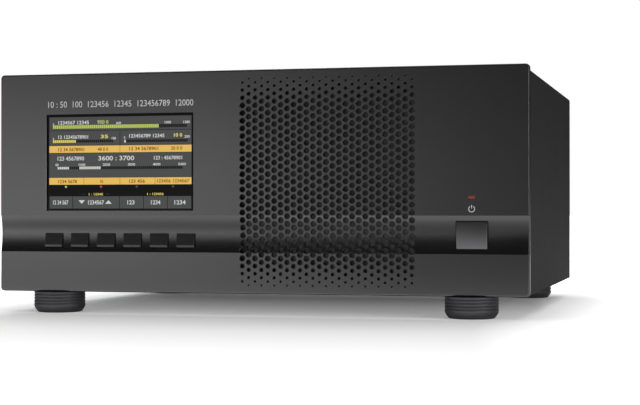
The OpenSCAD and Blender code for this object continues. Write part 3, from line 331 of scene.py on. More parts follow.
def end_pattern(t, given, result, colour_factor, pattern, height):
    """Ends a pattern group: colour towards the tint, uneven roughness and relief."""
    t.feed(result["Color"], t.blend(colour_factor, given["Color"], given["Tint"]))
    uneven = t.times(t.minus(pattern, 0.5), given["Roughness spread"])
    t.feed(result["Roughness"], t.plus(given["Roughness"], uneven))
    t.feed(result["Height"], height)
    return t.tree


def surface_grain():
    """Slow and fast noise: a drifting tint, uneven gloss and a fine grain."""
    t, given, result = start_group(
        "surface_grain", "ShaderNodeTree",
        [("Vector", VECTOR, None), ("Color", COLOR, None), ("Tint", COLOR, None),
         ("Drift scale", FLOAT, 25.0), ("Grain scale", FLOAT, 1400.0), ("Spread", FLOAT, 0.5),
         ("Roughness", FLOAT, 0.4), ("Roughness spread", FLOAT, 0.1)],
        [("Color", COLOR), ("Roughness", FLOAT), ("Height", FLOAT)])
    drift = t.add("TexNoise", {"Vector": given["Vector"], "Scale": given["Drift scale"],
                               "Detail": 3.0})
    grain = t.add("TexNoise", {"Vector": given["Vector"], "Scale": given["Grain scale"],
                               "Detail": 2.0})
    mixed = t.plus(t.times(drift, 0.65), t.times(grain, 0.35))
    factor = t.times(t.ramp(mixed, 0.3, 0.7), given["Spread"])
    return end_pattern(t, given, result, factor, mixed, grain)


def brushed_lines():
    """Fine parallel lines along X, as on rolled or brushed sheet."""
    t, given, result = start_group(
        "brushed_lines", "ShaderNodeTree",
        [("Vector", VECTOR, None), ("Color", COLOR, None), ("Tint", COLOR, None),
         ("Scale", FLOAT, 900.0), ("Stretch", FLOAT, 60.0), ("Roughness", FLOAT, 0.4),
         ("Roughness spread", FLOAT, 0.2)],
        [("Color", COLOR), ("Roughness", FLOAT), ("Height", FLOAT)])
    across = t.over(1.0, given["Stretch"])
    stretched = t.add("VectorMath", {0: given["Vector"], 1: t.xyz(across, 1.0, 1.0)},
                      operation="MULTIPLY")
    lines = t.add("TexNoise", {"Vector": stretched, "Scale": given["Scale"], "Detail": 3.0})
    return end_pattern(t, given, result, t.ramp(lines, 0.3, 0.7), lines, lines)


def settled_dust():
    """A thin film that gathers on faces that look up."""
    t, given, result = start_group(
        "settled_dust", "ShaderNodeTree",
        [("Vector", VECTOR, None), ("Color", COLOR, None), ("Dust", COLOR, (0.3, 0.29, 0.27, 1.0)),
         ("Roughness", FLOAT, 0.4), ("Amount", FLOAT, 0.1)],
        [("Color", COLOR), ("Roughness", FLOAT)])
    normal = t.add("NewGeometry", out="Normal")
    upward = t.ramp(t.part(normal, 2), 0.3, 1.0)
    patches = t.add("TexNoise", {"Vector": given["Vector"], "Scale": 9.0, "Detail": 5.0})
    amount = t.times(t.times(upward, t.ramp(patches, 0.35, 0.75, 0.25, 1.0)), given["Amount"])
    t.feed(result["Color"], t.blend(amount, given["Color"], given["Dust"]))
    t.feed(result["Roughness"], t.plus(given["Roughness"], t.times(amount, 0.5)))
    return t.tree


def wire_cloth():
    """A square weave of fine wires: bright wires over gaps coloured dark, as painted shade seen through the
    weave.
    """
    t, given, result = start_group(
        "wire_cloth", "ShaderNodeTree",
        [("Vector", VECTOR, None), ("Color", COLOR, None), ("Gap", COLOR, (0.002, 0.002, 0.002, 1.0)),
         ("Wires per metre", FLOAT, 900.0), ("Wire share", FLOAT, 0.6)],
        [("Color", COLOR), ("Height", FLOAT)])
    scaled = t.add("VectorMath", {0: given["Vector"], 3: given["Wires per metre"]},
                   operation="SCALE")
    axes = [t.part(scaled, k) for k in (0, 2)]
    waves = [t.maths("ABSOLUTE", t.minus(t.maths("FRACT", a), 0.5)) for a in axes]
    near = t.maths("MAXIMUM", waves[0], waves[1])
    edge = t.times(t.minus(1.0, given["Wire share"]), 0.5)
    wire = t.ramp(t.minus(near, edge), 0.0, 0.08)
    t.feed(result["Color"], t.blend(wire, given["Gap"], given["Color"]))
    t.feed(result["Height"], wire)
    return t.tree


def board_tracks():
    """Solder mask over tracks and pads: straight runs and small round pads."""
    t, given, result = start_group(
        "board_tracks", "ShaderNodeTree",
        [("Vector", VECTOR, None), ("Mask", COLOR, None), ("Track", COLOR, None), ("Pad", COLOR, None),
         ("Scale", FLOAT, 240.0)],
        [("Color", COLOR), ("Roughness", FLOAT), ("Height", FLOAT)])
    cells = t.add("TexVoronoi", {"Vector": given["Vector"], "Scale": given["Scale"]},
                  distance="CHEBYCHEV", feature="F1")
    tracks = t.ramp(t.maths("ABSOLUTE", t.minus(cells, 0.42)), 0.02, 0.05, 1.0, 0.0)
    dots = t.add("TexVoronoi", {"Vector": given["Vector"], "Scale": t.times(given["Scale"], 0.8)})
    pads = t.ramp(dots, 0.1, 0.13, 1.0, 0.0)
    colours = t.blend(tracks, given["Mask"], given["Track"])
    t.feed(result["Color"], t.blend(pads, colours, given["Pad"]))
    t.feed(result["Roughness"], t.ramp(pads, 0.0, 1.0, 0.35, 0.25))
    t.feed(result["Height"], t.maths("MAXIMUM", tracks, pads))
    return t.tree


def wound_wire():
    """Turns of enamelled wire side by side round an axis along Z, with painted shade: bands darken each
    turn towards the creases between turns.
    """
    t, given, result = start_group(
        "wound_wire", "ShaderNodeTree",
        [("Vector", VECTOR, None), ("Color", COLOR, None), ("Shade", COLOR, None),
         ("Scale", FLOAT, 500.0)],
        [("Color", COLOR), ("Height", FLOAT)])
    rows = t.add("TexWave", {"Vector": given["Vector"], "Scale": given["Scale"],
                             "Distortion": 0.6, "Detail": 1.0}, out=1,
                 wave_type="BANDS", bands_direction="DIAGONAL")
    t.feed(result["Color"], t.blend(rows, given["Shade"], given["Color"]))
    t.feed(result["Height"], rows)
    return t.tree


GROUPS = {}
METAL = {"Metallic": 1.0}


def group(make):
    """Builds a node group the first time that it is asked for."""
    if make.__name__ not in GROUPS:
        GROUPS[make.__name__] = make()
    return GROUPS[make.__name__]


def rgba(values, factor=1.0):
    """A colour with full cover, made lighter or darker by a factor."""
    return (*(min(1.0, v * factor) for v in tuple(values)[:3]), 1.0)


class Finish:
    """One material, written from its pattern groups down to the shader."""

    def __init__(self, name):
        self.material = bpy.data.materials.new(name)
        self.material.use_nodes = True
        self.t = Tree(self.material.node_tree)
        self.shader = self.material.node_tree.nodes["Principled BSDF"]
        self.place = self.t.add("TexCoord", out="Object")

    def pattern(self, make, **feeds):
        """Places a pattern group and gives its node."""
        node = self.material.node_tree.nodes.new("ShaderNodeGroup")
        node.node_tree = group(make)
        self.t.feed(node.inputs["Vector"], self.place)
        for label, value in feeds.items():
            self.t.feed(node.inputs[label.replace("_", " ")], value)
        return node

    def dusted(self, node, amount):
        """Lays dust over a pattern's colour and roughness."""
        return self.pattern(settled_dust, Color=node.outputs["Color"], Amount=amount,
                            Roughness=node.outputs["Roughness"])

    def wire(self, colour_from, roughness_from, height_from=None, relief=0.2, depth=0.0001):
        """Joins patterns to the shader: colour, roughness and a bump of some depth in metres."""
        feed = self.t.feed
        feed(self.shader.inputs["Base Color"], colour_from.outputs["Color"])
        if roughness_from is not None:
            feed(self.shader.inputs["Roughness"], roughness_from.outputs["Roughness"])
        if height_from is not None:
            bump = self.t.add("Bump", {"Strength": relief, "Distance": depth,
                                       "Height": height_from.outputs["Height"]})
            feed(self.shader.inputs["Normal"], bump)

    def set(self, **values):
        for label, value in values.items():
            self.shader.inputs[label.replace("_", " ")].default_value = value
        return self.material


def surface(name, pattern, relief, depth, dust, shader):
    """A finish of one pattern with its relief and, where there is some, a film of dust."""
    finish = Finish(name)
    node = finish.pattern(**pattern)
    top = finish.dusted(node, dust) if dust > 0 else node
    finish.wire(top, top, node, relief, depth)
    return finish.set(**shader)


def grained(name, base, tint, roughness, spread, drift, grain, uneven, *rest):
    """A moulded, coated or blasted surface."""
    return surface(name, dict(make=surface_grain, Color=rgba(base), Tint=rgba(tint), Spread=spread,
                              Drift_scale=drift, Grain_scale=grain, Roughness=roughness,
                              Roughness_spread=uneven), *rest)


def brushed(name, base, tint, roughness, scale, stretch, uneven, *rest):
    """A rolled, drawn or brushed metal surface."""
    return surface(name, dict(make=brushed_lines, Color=rgba(base), Tint=rgba(tint), Scale=scale,
                              Stretch=stretch, Roughness=roughness, Roughness_spread=uneven),
                   *rest, METAL)


def glowing(name, glow_colour, strength, roughness=0.12):
    """Something lit under glass: the lamp, or a part of the display."""
    finish = Finish(name)
    node = finish.pattern(surface_grain, Color=rgba(glow_colour, 0.94), Tint=rgba(glow_colour),
                          Drift_scale=60.0, Grain_scale=2500.0, Spread=1.0, Roughness=roughness,
                          Roughness_spread=0.02)
    finish.t.feed(finish.shader.inputs["Emission Color"], node.outputs["Color"])
    finish.t.feed(finish.shader.inputs["Roughness"], node.outputs["Roughness"])
    return finish.set(Base_Color=(0.002, 0.002, 0.002, 1.0), Emission_Strength=strength,
                      Specular_IOR_Level=0.04)


# How far in front of the object, in metres, and how much the floor glows there: the low glow close to the
# object and under it is a painted shadow.
GLOW_BY_DISTANCE = ((-0.25, 0.08), (-0.2, 0.13), (-0.1, 0.23), (-0.05, 0.27), (-0.012, 0.25),
                    (0.012, 0.05), (0.04, 0.02), (0.13, 0.10), (0.31, 0.32), (0.9, 1.0))
SHADOW_END = 0.6    # where the painted shadow beside the object ends, in metres


def bright_floor(look):
    """Pale paper with a painted soft shadow: its glow is low near the object and rises further out into the
    white background; a painted reflection glows only in mirrored rays.
    """
    finish = Finish("floor")
    node = finish.pattern(surface_grain, Color=rgba(look.floor), Tint=rgba(look.floor, 0.98),
                          Drift_scale=3.0, Grain_scale=300.0, Spread=0.4, Roughness=0.7,
                          Roughness_spread=0.05)
    finish.wire(node, node)
    t = finish.t
    m = t.maths
    plus, minus, times, over = t.plus, t.minus, t.times, t.over
    low, high = CAD_BOX
    x, y = t.part(finish.place, 0), t.part(finish.place, 1)
    ahead = minus(low.y, y)
    beside = m("MAXIMUM", minus(m("ABSOLUTE", x), high.x), minus(y, high.y))
    start, end = GLOW_BY_DISTANCE[0][0], GLOW_BY_DISTANCE[-1][0]
    curve = t.add("ValToRGB", {"Fac": over(minus(ahead, start), end - start)}, out="Color")
    stops = curve.node.color_ramp.elements
    for i, (distance, glow) in enumerate(GLOW_BY_DISTANCE):
        place = (distance - start) / (end - start)
        stop = stops[i] if i < 2 else stops.new(place)
        stop.position, stop.color = place, (glow, glow, glow, 1)
    seen = t.add("LightPath", out="Is Camera Ray")
    # Painted shadow beside the object: the glow is low close to its sides and rises further out.
    sides = plus(t.ramp(beside, -0.03, look.glow_side, 0.05, 0.6),
                 t.ramp(beside, look.glow_side, SHADOW_END))
    full = times(seen, m("MAXIMUM", curve, sides))
    # Painted reflection: glow that only mirrored rays see, so the panel mirrors a bright floor just in
    # front and further to the left.
    mirrored = t.add("LightPath", out="Is Glossy Ray")
    close = times(t.ramp(ahead, 0.0, 0.02), t.ramp(ahead, 0.10, 0.20, look.glow_close, 0.0))
    left = times(t.ramp(x, 0.0, -0.5, 0.0, look.glow_left), t.ramp(ahead, 0.3, 0.5))
    full = plus(full, times(mirrored, plus(close, left)))
    t.feed(finish.shader.inputs["Emission Color"], t.xyz(full, full, full))
    return finish.set(Emission_Strength=look.glow, Specular_IOR_Level=0.0)


LAMP_GLOW = 0.5


def make_materials():
    """Every finish of the object, by its name."""
    look = bpy.context.scene.amplifier_finish
    display = bpy.context.scene.amplifier_display
    g, dust = look.grain, look.dust
    # Each row: name, colour, tint, roughness, share of the tint, scale of the drift and of the grain,
    # unevenness of the gloss, relief, its depth in metres, dust, and other values of the shader.
    coated = (
        ("panel_black", look.panel, Vector(look.panel) * 1.25, 0.26, 0.6, 14, 2600, 0.06, 0.10 * g, 0.00003,
         dust * 0.1, {"Specular_IOR_Level": 0.6}),
        ("cover_black", look.cover, Vector(look.cover) * 1.35, 0.6, 0.6, 20, 1500, 0.1, 0.7 * g, 0.00008,
         dust * 0.4, {"Specular_IOR_Level": 0.12}),
        ("key_black", look.keys, Vector(look.keys) * 1.4, 0.38, 0.5, 90, 3000, 0.08, 0.25 * g, 0.00003,
         dust * 0.2, {"Specular_IOR_Level": 0.35}),
        ("button_grey", look.button, Vector(look.button) * 1.15, 0.50, 0.5, 60, 3000, 0.06, 0.2 * g,
         0.00003, 0, METAL),
        ("foot_rubber", look.rubber, Vector(look.rubber) * 1.5, 0.55, 0.6, 80, 1800, 0.15, 0.8 * g, 0.00008,
         dust * 0.6, {}),
        ("black_plastic", (0.012, 0.012, 0.012), (0.022, 0.022, 0.021), 0.42, 0.5, 60, 1600, 0.15, 0.6 * g,
         0.00008, dust * 0.6, {}),
        ("relay_white", (0.72, 0.71, 0.67), (0.62, 0.61, 0.56), 0.45, 0.5, 40, 1200, 0.1, 0.3 * g, 0.00005,
         dust, {}),
        ("cable_jacket", (0.32, 0.31, 0.29), (0.24, 0.23, 0.21), 0.5, 0.6, 60, 900, 0.15, 0.5 * g, 0.0001,
         dust, {}),
        ("ferrite", (0.035, 0.035, 0.038), (0.06, 0.058, 0.058), 0.62, 0.8, 200, 2200, 0.15, 1.0 * g,
         0.00015, dust, {}),
        ("gold_ceramic", (0.80, 0.62, 0.30), (0.86, 0.70, 0.40), 0.3, 0.5, 80, 1500, 0.1, 0.2 * g, 0.00004,
         0, METAL),
        ("black_screws", (0.020, 0.020, 0.022), (0.035, 0.035, 0.037), 0.32, 0.5, 200, 2500, 0.15, 0.3 * g,
         0.00004, dust * 0.3, {"Metallic": 0.6}),
        ("window_glass", (0.0022, 0.0022, 0.0024), (0.0032, 0.0032, 0.0034), 0.10, 0.5, 30, 2000, 0.02,
         0.02, 0.00001, 0, {"Specular_IOR_Level": 0.04}),
        ("panel_print", (0.60, 0.60, 0.60), (0.68, 0.68, 0.68), 0.5, 0.5, 60, 2500, 0.1, 0.1, 0.00002,
         0, {}))
    # Each row: name, colour, tint, roughness, scale of the lines, their stretch, unevenness of the
    # gloss, relief, its depth in metres, and dust.
    metals = (
        ("nickel", (0.66, 0.64, 0.60), (0.74, 0.72, 0.68), 0.26, 1500, 8, 0.15, 0.06 * g, 0.00003,
         dust * 0.2),
        ("brass", (0.74, 0.55, 0.24), (0.82, 0.64, 0.32), 0.28, 1500, 8, 0.18, 0.08 * g, 0.00003,
         dust * 0.2),
        ("zinc_steel", (0.60, 0.61, 0.60), (0.70, 0.71, 0.70), 0.33, 1100, 10, 0.2, 0.08 * g, 0.00003,
         dust * 0.3),
        ("sheet_steel", (0.50, 0.51, 0.52), (0.58, 0.59, 0.60), 0.40, 700, 50, 0.25, 0.12 * g, 0.00004,
         dust),
        ("bare_aluminium", (0.78, 0.79, 0.80), (0.86, 0.87, 0.88), 0.35, 900, 80, 0.2, 0.10 * g, 0.00004,
         dust),
        ("display_frame", (0.42, 0.43, 0.45), (0.52, 0.53, 0.55), 0.38, 900, 40, 0.2, 0.08 * g, 0.00003,
         dust * 0.5))
    made = {row[0]: grained(*row) for row in coated}
    made.update((row[0], brushed(*row)) for row in metals)
    mesh = Finish("mesh_grey")
    # The dark gap colour is painted shade: the darkness seen through the weave's openings.
    cloth = mesh.pattern(wire_cloth, Color=(0.46, 0.46, 0.47, 1.0), Gap=(0.1, 0.1, 0.1, 1.0),
                         Wires_per_metre=820.0)
    mesh.wire(cloth, None, cloth, 0.7, 0.0002)
    made["mesh_grey"] = mesh.set(Roughness=0.55, Metallic=0.2)
    for name, mask, track, pad in (
            ("board_green", (0.008, 0.075, 0.028), (0.014, 0.115, 0.045), (0.50, 0.48, 0.42)),
            ("board_blue", (0.006, 0.035, 0.095), (0.012, 0.060, 0.150), (0.62, 0.52, 0.25))):
        board = Finish(name)
        tracks = board.pattern(board_tracks, Mask=rgba(mask), Track=rgba(track), Pad=rgba(pad))
        board.wire(board.dusted(tracks, dust), tracks, tracks, 0.4, 0.0001)
        made[name] = board.set(Coat_Weight=0.2, Coat_Roughness=0.2)
    coil = Finish("copper")
    # The Shade colour is painted shade in the creases between the turns of wire.
    turns = coil.pattern(wound_wire, Color=(0.78, 0.30, 0.13, 1.0), Shade=(0.16, 0.045, 0.02, 1.0))
    coil.wire(turns, None, turns, 0.6, 0.0003)
    made["copper"] = coil.set(Roughness=0.33, Metallic=0.9)
    made["lamp_red"] = glowing("lamp_red", look.lamp, LAMP_GLOW, 0.25)
    for name, light in (
            ("lit_cells", display.cells), ("lit_amber", display.amber), ("lit_bar", display.bar),
            ("lit_yellow", (0.78, 0.66, 0.16)), ("lit_reading", display.reading),
            ("lit_green", (0.42, 0.50, 0.10)), ("lit_dark", (0.001, 0.001, 0.001)),
            ("lit_edge", (0.020, 0.020, 0.020)), ("lit_red", (0.45, 0.06, 0.06)),
            ("lit_print", (0.13, 0.07, 0.012))):
        made[name] = glowing(name, light, display.glow)
    made["floor"] = bright_floor(bpy.context.scene.amplifier_stage)
    return made


MATERIALS = {}


def material(name):
    if not MATERIALS:
        MATERIALS.update(make_materials())
    return MATERIALS[name]


# ---- mesh writing


def angles(number):
    """Equal steps round a circle."""
    return [2 * pi * k / number for k in range(number)]


def round_rect(w, h, r, steps, x, z):
    """Outline of a rectangle with round corners, anticlockwise from the front."""
    points = []
    for k, (sx, sz) in enumerate(((1, 1), (-1, 1), (-1, -1), (1, -1))):
        for i in range(steps + 1):
            a = radians(90 * (k + i / steps))
            points.append(Vector((x + sx * (w / 2 - r) + r * cos(a),
                                  z + sz * (h / 2 - r) + r * sin(a))))
    return points


def grown_rect(middle, width, height, corner, steps):
    """Gives the outline of a rectangle with round corners, grown by some amount."""
    return lambda by: round_rect(width + 2 * by, height + 2 * by, corner + by, steps, middle.x, middle.z)


def at_depth(outline, y):
    return [Vector((p.x, y, p.y)) for p in outline]


def loft(bm, loops, start=False, end=False, closed=True, index=0):
    """Walls from loop to loop, with a flat face at either end if asked."""
    rings = [[bm.verts.new(p) for p in loop] for loop in loops]
    n = len(rings[0])
    faces = []
    for a, b in zip(rings, rings[1:]):
        for i in range(n if closed else n - 1):
            j = (i + 1) % n
            faces.append(bm.faces.new((a[i], a[j], b[j], b[i])))
    if start:
        faces.append(bm.faces.new(rings[0][::-1]))
    if end:
        faces.append(bm.faces.new(rings[-1]))
    for f in faces:
        f.material_index = index


def slab(bm, outline, y0, y1, edge):
    """A plate with a softened front and back edge; outline(growth) gives its loop."""
    loops = [at_depth(outline(-edge), y0), at_depth(outline(0), y0 + edge),
             at_depth(outline(0), y1 - edge), at_depth(outline(-edge), y1)]
    loft(bm, loops, True, True)


def lathe(bm, profile, centre, sides, axis="y", closed=False, caps=(True, True), index=0):
    """Turns a profile of (radius, distance) round an axis through the centre."""
    loops = []
    for r, d in profile:
        loop = []
        for a in angles(sides):
            u, v = r * cos(a), r * sin(a)
            loop.append(Vector(centre) + Vector((u, d, v) if axis == "y" else (u, v, d)))
        loops.append(loop)
    if closed:
        loops.append([p.copy() for p in loops[0]])
        caps = (False, False)
    loft(bm, loops, *caps, index=index)


def add_box(bm, low, high):
    outline = [Vector((low[0], low[2])), Vector((high[0], low[2])),
               Vector((high[0], high[2])), Vector((low[0], high[2]))]
    loft(bm, [at_depth(outline, low[1]), at_depth(outline, high[1])], True, True)


def soften(bm, chosen, width):
    """Rounds the edges that the test picks."""
    edges = [e for e in bm.edges if chosen(e)]
    bmesh.ops.bevel(bm, geom=edges, offset=width, segments=3, profile=0.5, affect="EDGES",
                    clamp_overlap=True)


def finish_piece(bm, name, materials, replaces=(), body="chassis", slot=None, angle=32, tidy=True,
                 sharp=None, flat=lambda face: False):
    """Sets a drawn piece into the model's frame, on its body and in its finishes."""
    if tidy:
        bmesh.ops.remove_doubles(bm, verts=bm.verts, dist=0.0005)
        bmesh.ops.recalc_face_normals(bm, faces=bm.faces)
    smooth = [not flat(face) for face in bm.faces]
    bm.transform(TO_FRAME)
    mesh = bpy.data.meshes.new(name)
    bm.to_mesh(mesh)
    bm.free()
    for label in materials:
        mesh.materials.append(material(label))
    mesh.set_sharp_from_angle(angle=radians(angle))
    mesh.polygons.foreach_set("use_smooth", smooth)
    if sharp is not None:
        sharp(mesh)
    piece = bpy.data.objects.new(name, mesh)
    bpy.context.scene.collection.objects.link(piece)
    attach(piece, body)
    slot or materials[0]
    if replaces:
        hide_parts(*replaces)


def wide(face_area):
    """A test for faces that are larger than an area in square millimetres, and so stay flat."""
    return lambda face: face.calc_area() > face_area


CAPITAL_HEIGHT = 0.73    # of a figure, as a share of its font size


def numerals(text, height, width, weight=0.0):
    """Outlines of a row of numbers as a flat mesh, standing in the XZ plane."""
    curve = bpy.data.curves.new("figures", "FONT")
    curve.body = text
    curve.size = height / CAPITAL_HEIGHT
    curve.offset = weight * height
    curve.resolution_u = 3
    holder = bpy.data.objects.new("figures", curve)
    bpy.context.scene.collection.objects.link(holder)
    bpy.context.view_layer.update()
    mesh = bpy.data.meshes.new_from_object(holder.evaluated_get(bpy.context.evaluated_depsgraph_get()))
    bpy.data.objects.remove(holder)
    stretch = width / max(v.co.x for v in mesh.vertices)
    mesh.transform(Matrix(((stretch, 0, 0, 0), (0, 0, 1, 0), (0, 1, 0, 0), (0, 0, 0, 1))))
    return mesh


# ---- front panel

KEYS = range(1, 7)
BACK_EDGE = 0.3      # chamfer of the front panel's back edge
GROOVE_STEPS = 14    # flat strips that make the round hand groove


def perforated_field_tree():
    """Geometry Nodes: a honeycomb of hexagonal cells, each with a round hole."""
    sides = 18
    t, given, end = start_shape("perforated_field", [
        ("Columns", WHOLE, 27), ("Rows", WHOLE, 27), ("Pitch", FLOAT, 0.00588), ("Hole", FLOAT, 0.0045),
        ("Smallest hole", FLOAT, 0.0013), ("Fade", FLOAT, 0.0206), ("Thickness", FLOAT, 0.006),
        ("Chamfer", FLOAT, 0.00025)])
    m = t.maths
    plus, minus, times, over = t.plus, t.minus, t.times, t.over
    pitch = given["Pitch"]
    long_rows = plus(given["Rows"], 1)
    index = t.geo("InputIndex")
    column = m("FLOOR", over(plus(index, 0.5), long_rows))
    row = minus(index, times(column, long_rows))
    in_column = plus(given["Rows"], m("MODULO", column, 2.0))
    across = minus(column, times(minus(given["Columns"], 1), 0.5))
    up = minus(row, times(minus(in_column, 1), 0.5))
    height = times(up, pitch)
    place = t.xyz(times(across, times(pitch, sqrt(3) / 2)), 0.0, height)
    half = times(times(given["Rows"], pitch), 0.5)
    steepness = over(minus(given["Hole"], given["Smallest hole"]), given["Fade"])
    shrunk = plus(given["Smallest hole"], times(minus(half, m("ABSOLUTE", height)), steepness))
    radius = times(m("MINIMUM", given["Hole"], shrunk), 0.5)
    points = t.geo("Points", {"Count": times(given["Columns"], long_rows), "Position": place})

    def keep(geometry, label, value, kind="FLOAT"):
        return t.geo("StoreNamedAttribute",
                     {"Geometry": geometry, "Name": label, "Value": value},
                     data_type=kind, domain="POINT")

    def recall(label, kind="FLOAT"):
        return t.geo("InputNamedAttribute", {"Name": label}, data_type=kind)

    points = keep(keep(points, "hole", radius), "middle", place, "FLOAT_VECTOR")
    points = t.geo("DeleteGeometry", {
        "Geometry": points, "Selection": m("GREATER_THAN", row, minus(in_column, 0.5))},
                   domain="POINT")
    cell = t.geo("MeshGrid", {"Size X": 1.0, "Size Y": 1.0, "Vertices X": sides + 1,
                              "Vertices Y": 5})
    spot = t.geo("InputPosition")
    along = t.part(spot, 0)
    inward = t.part(spot, 1)
    cell = keep(cell, "turn", times(plus(along, 0.5), 2 * pi))
    cell = keep(cell, "ring", m("ROUND", times(plus(inward, 0.5), 4.0)))
    cells = t.geo("InstanceOnPoints", {"Points": points, "Instance": cell})
    cells = t.geo("RealizeInstances", {"Geometry": cells})
    turn, ring, hole = recall("turn"), recall("ring"), recall("hole")
    corner = minus(m("MODULO", turn, pi / 3), pi / 6)
    border = over(times(pitch, 0.5), m("COSINE", corner))
    on_border = m("GREATER_THAN", m("ABSOLUTE", minus(ring, 2.0)), 1.5)
    chamfered = times(m("COMPARE", ring, 3.0, 0.1), given["Chamfer"])
    inner = times(plus(hole, chamfered), minus(1.0, on_border))
    reach = plus(times(border, on_border), inner)
    depth = plus(times(m("LESS_THAN", ring, 1.5), given["Thickness"]),
                 times(m("COMPARE", ring, 2.0, 0.1), given["Chamfer"]))
    offset = t.xyz(times(reach, m("COSINE", turn)), depth, times(reach, m("SINE", turn)))
    moved = t.add("VectorMath", {0: recall("middle", "FLOAT_VECTOR"), 1: offset}, operation="ADD")
    field = t.geo("SetPosition", {"Geometry": cells, "Position": moved})
    return end(t.geo("MergeByDistance", {"Geometry": field, "Distance": 0.000004}))


def inside(point, loop):
    """Whether a point of the front view lies inside a closed loop."""
    hit = False
    for a, b in zip(loop, loop[1:] + loop[:1]):
        if (a.y > point.y) != (b.y > point.y):
            if point.x < (b.x - a.x) * (point.y - a.y) / (b.y - a.y) + a.x:
                hit = not hit
    return hit


def open_rim(bm, y):
    """The longest loop of open edges at one depth, as points of the front view."""
    ahead = {}
    for e in bm.edges:
        if e.is_boundary and all(abs(v.co.y - y) < 0.01 for v in e.verts):
            a, b = e.verts
            ahead.setdefault(a, []).append(b)
            ahead.setdefault(b, []).append(a)
    loops = []
    while ahead:
        start = next(iter(ahead))
        loop, last, here = [start], None, start
        while True:
            onward = [v for v in ahead[here] if v is not last]
            last, here = here, onward[0]
            if here is start:
                break
            loop.append(here)
        for v in loop:
            del ahead[v]
        loops.append([Vector((v.co.x, v.co.z)) for v in loop])
    return max(loops, key=len)


def plate_face(bm, y, outline, holes):
    """Fills the plate at one depth between its outline and its holes."""
    points, edges = [], []
    for loop in [outline, *holes]:
        first = len(points)
        points += loop
        edges += [(first + i, first + (i + 1) % len(loop)) for i in range(len(loop))]
    flat, _, faces, *_ = delaunay_2d_cdt(points, edges, [], 0, 1e-5)
    verts = [bm.verts.new((p.x, y, p.y)) for p in flat]
    for face in faces:
        middle = sum((flat[i] for i in face), Vector((0, 0))) / len(face)
        if inside(middle, outline) and not any(inside(middle, h) for h in holes):
            bm.faces.new([verts[i] for i in face])
    bmesh.ops.delete(bm, geom=[v for v in verts if not v.link_faces], context="VERTS")


def groove_depth(p, z):
    """How far the hand groove lies behind the panel's face at this height."""
    radius = ((p.groove_h / 2) ** 2 + p.groove_d ** 2) / (2 * p.groove_d)
    off = z - p.groove_z
    if abs(off) >= p.groove_h / 2:
        return 0.0
    return sqrt(radius ** 2 - off ** 2) - (radius - p.groove_d)


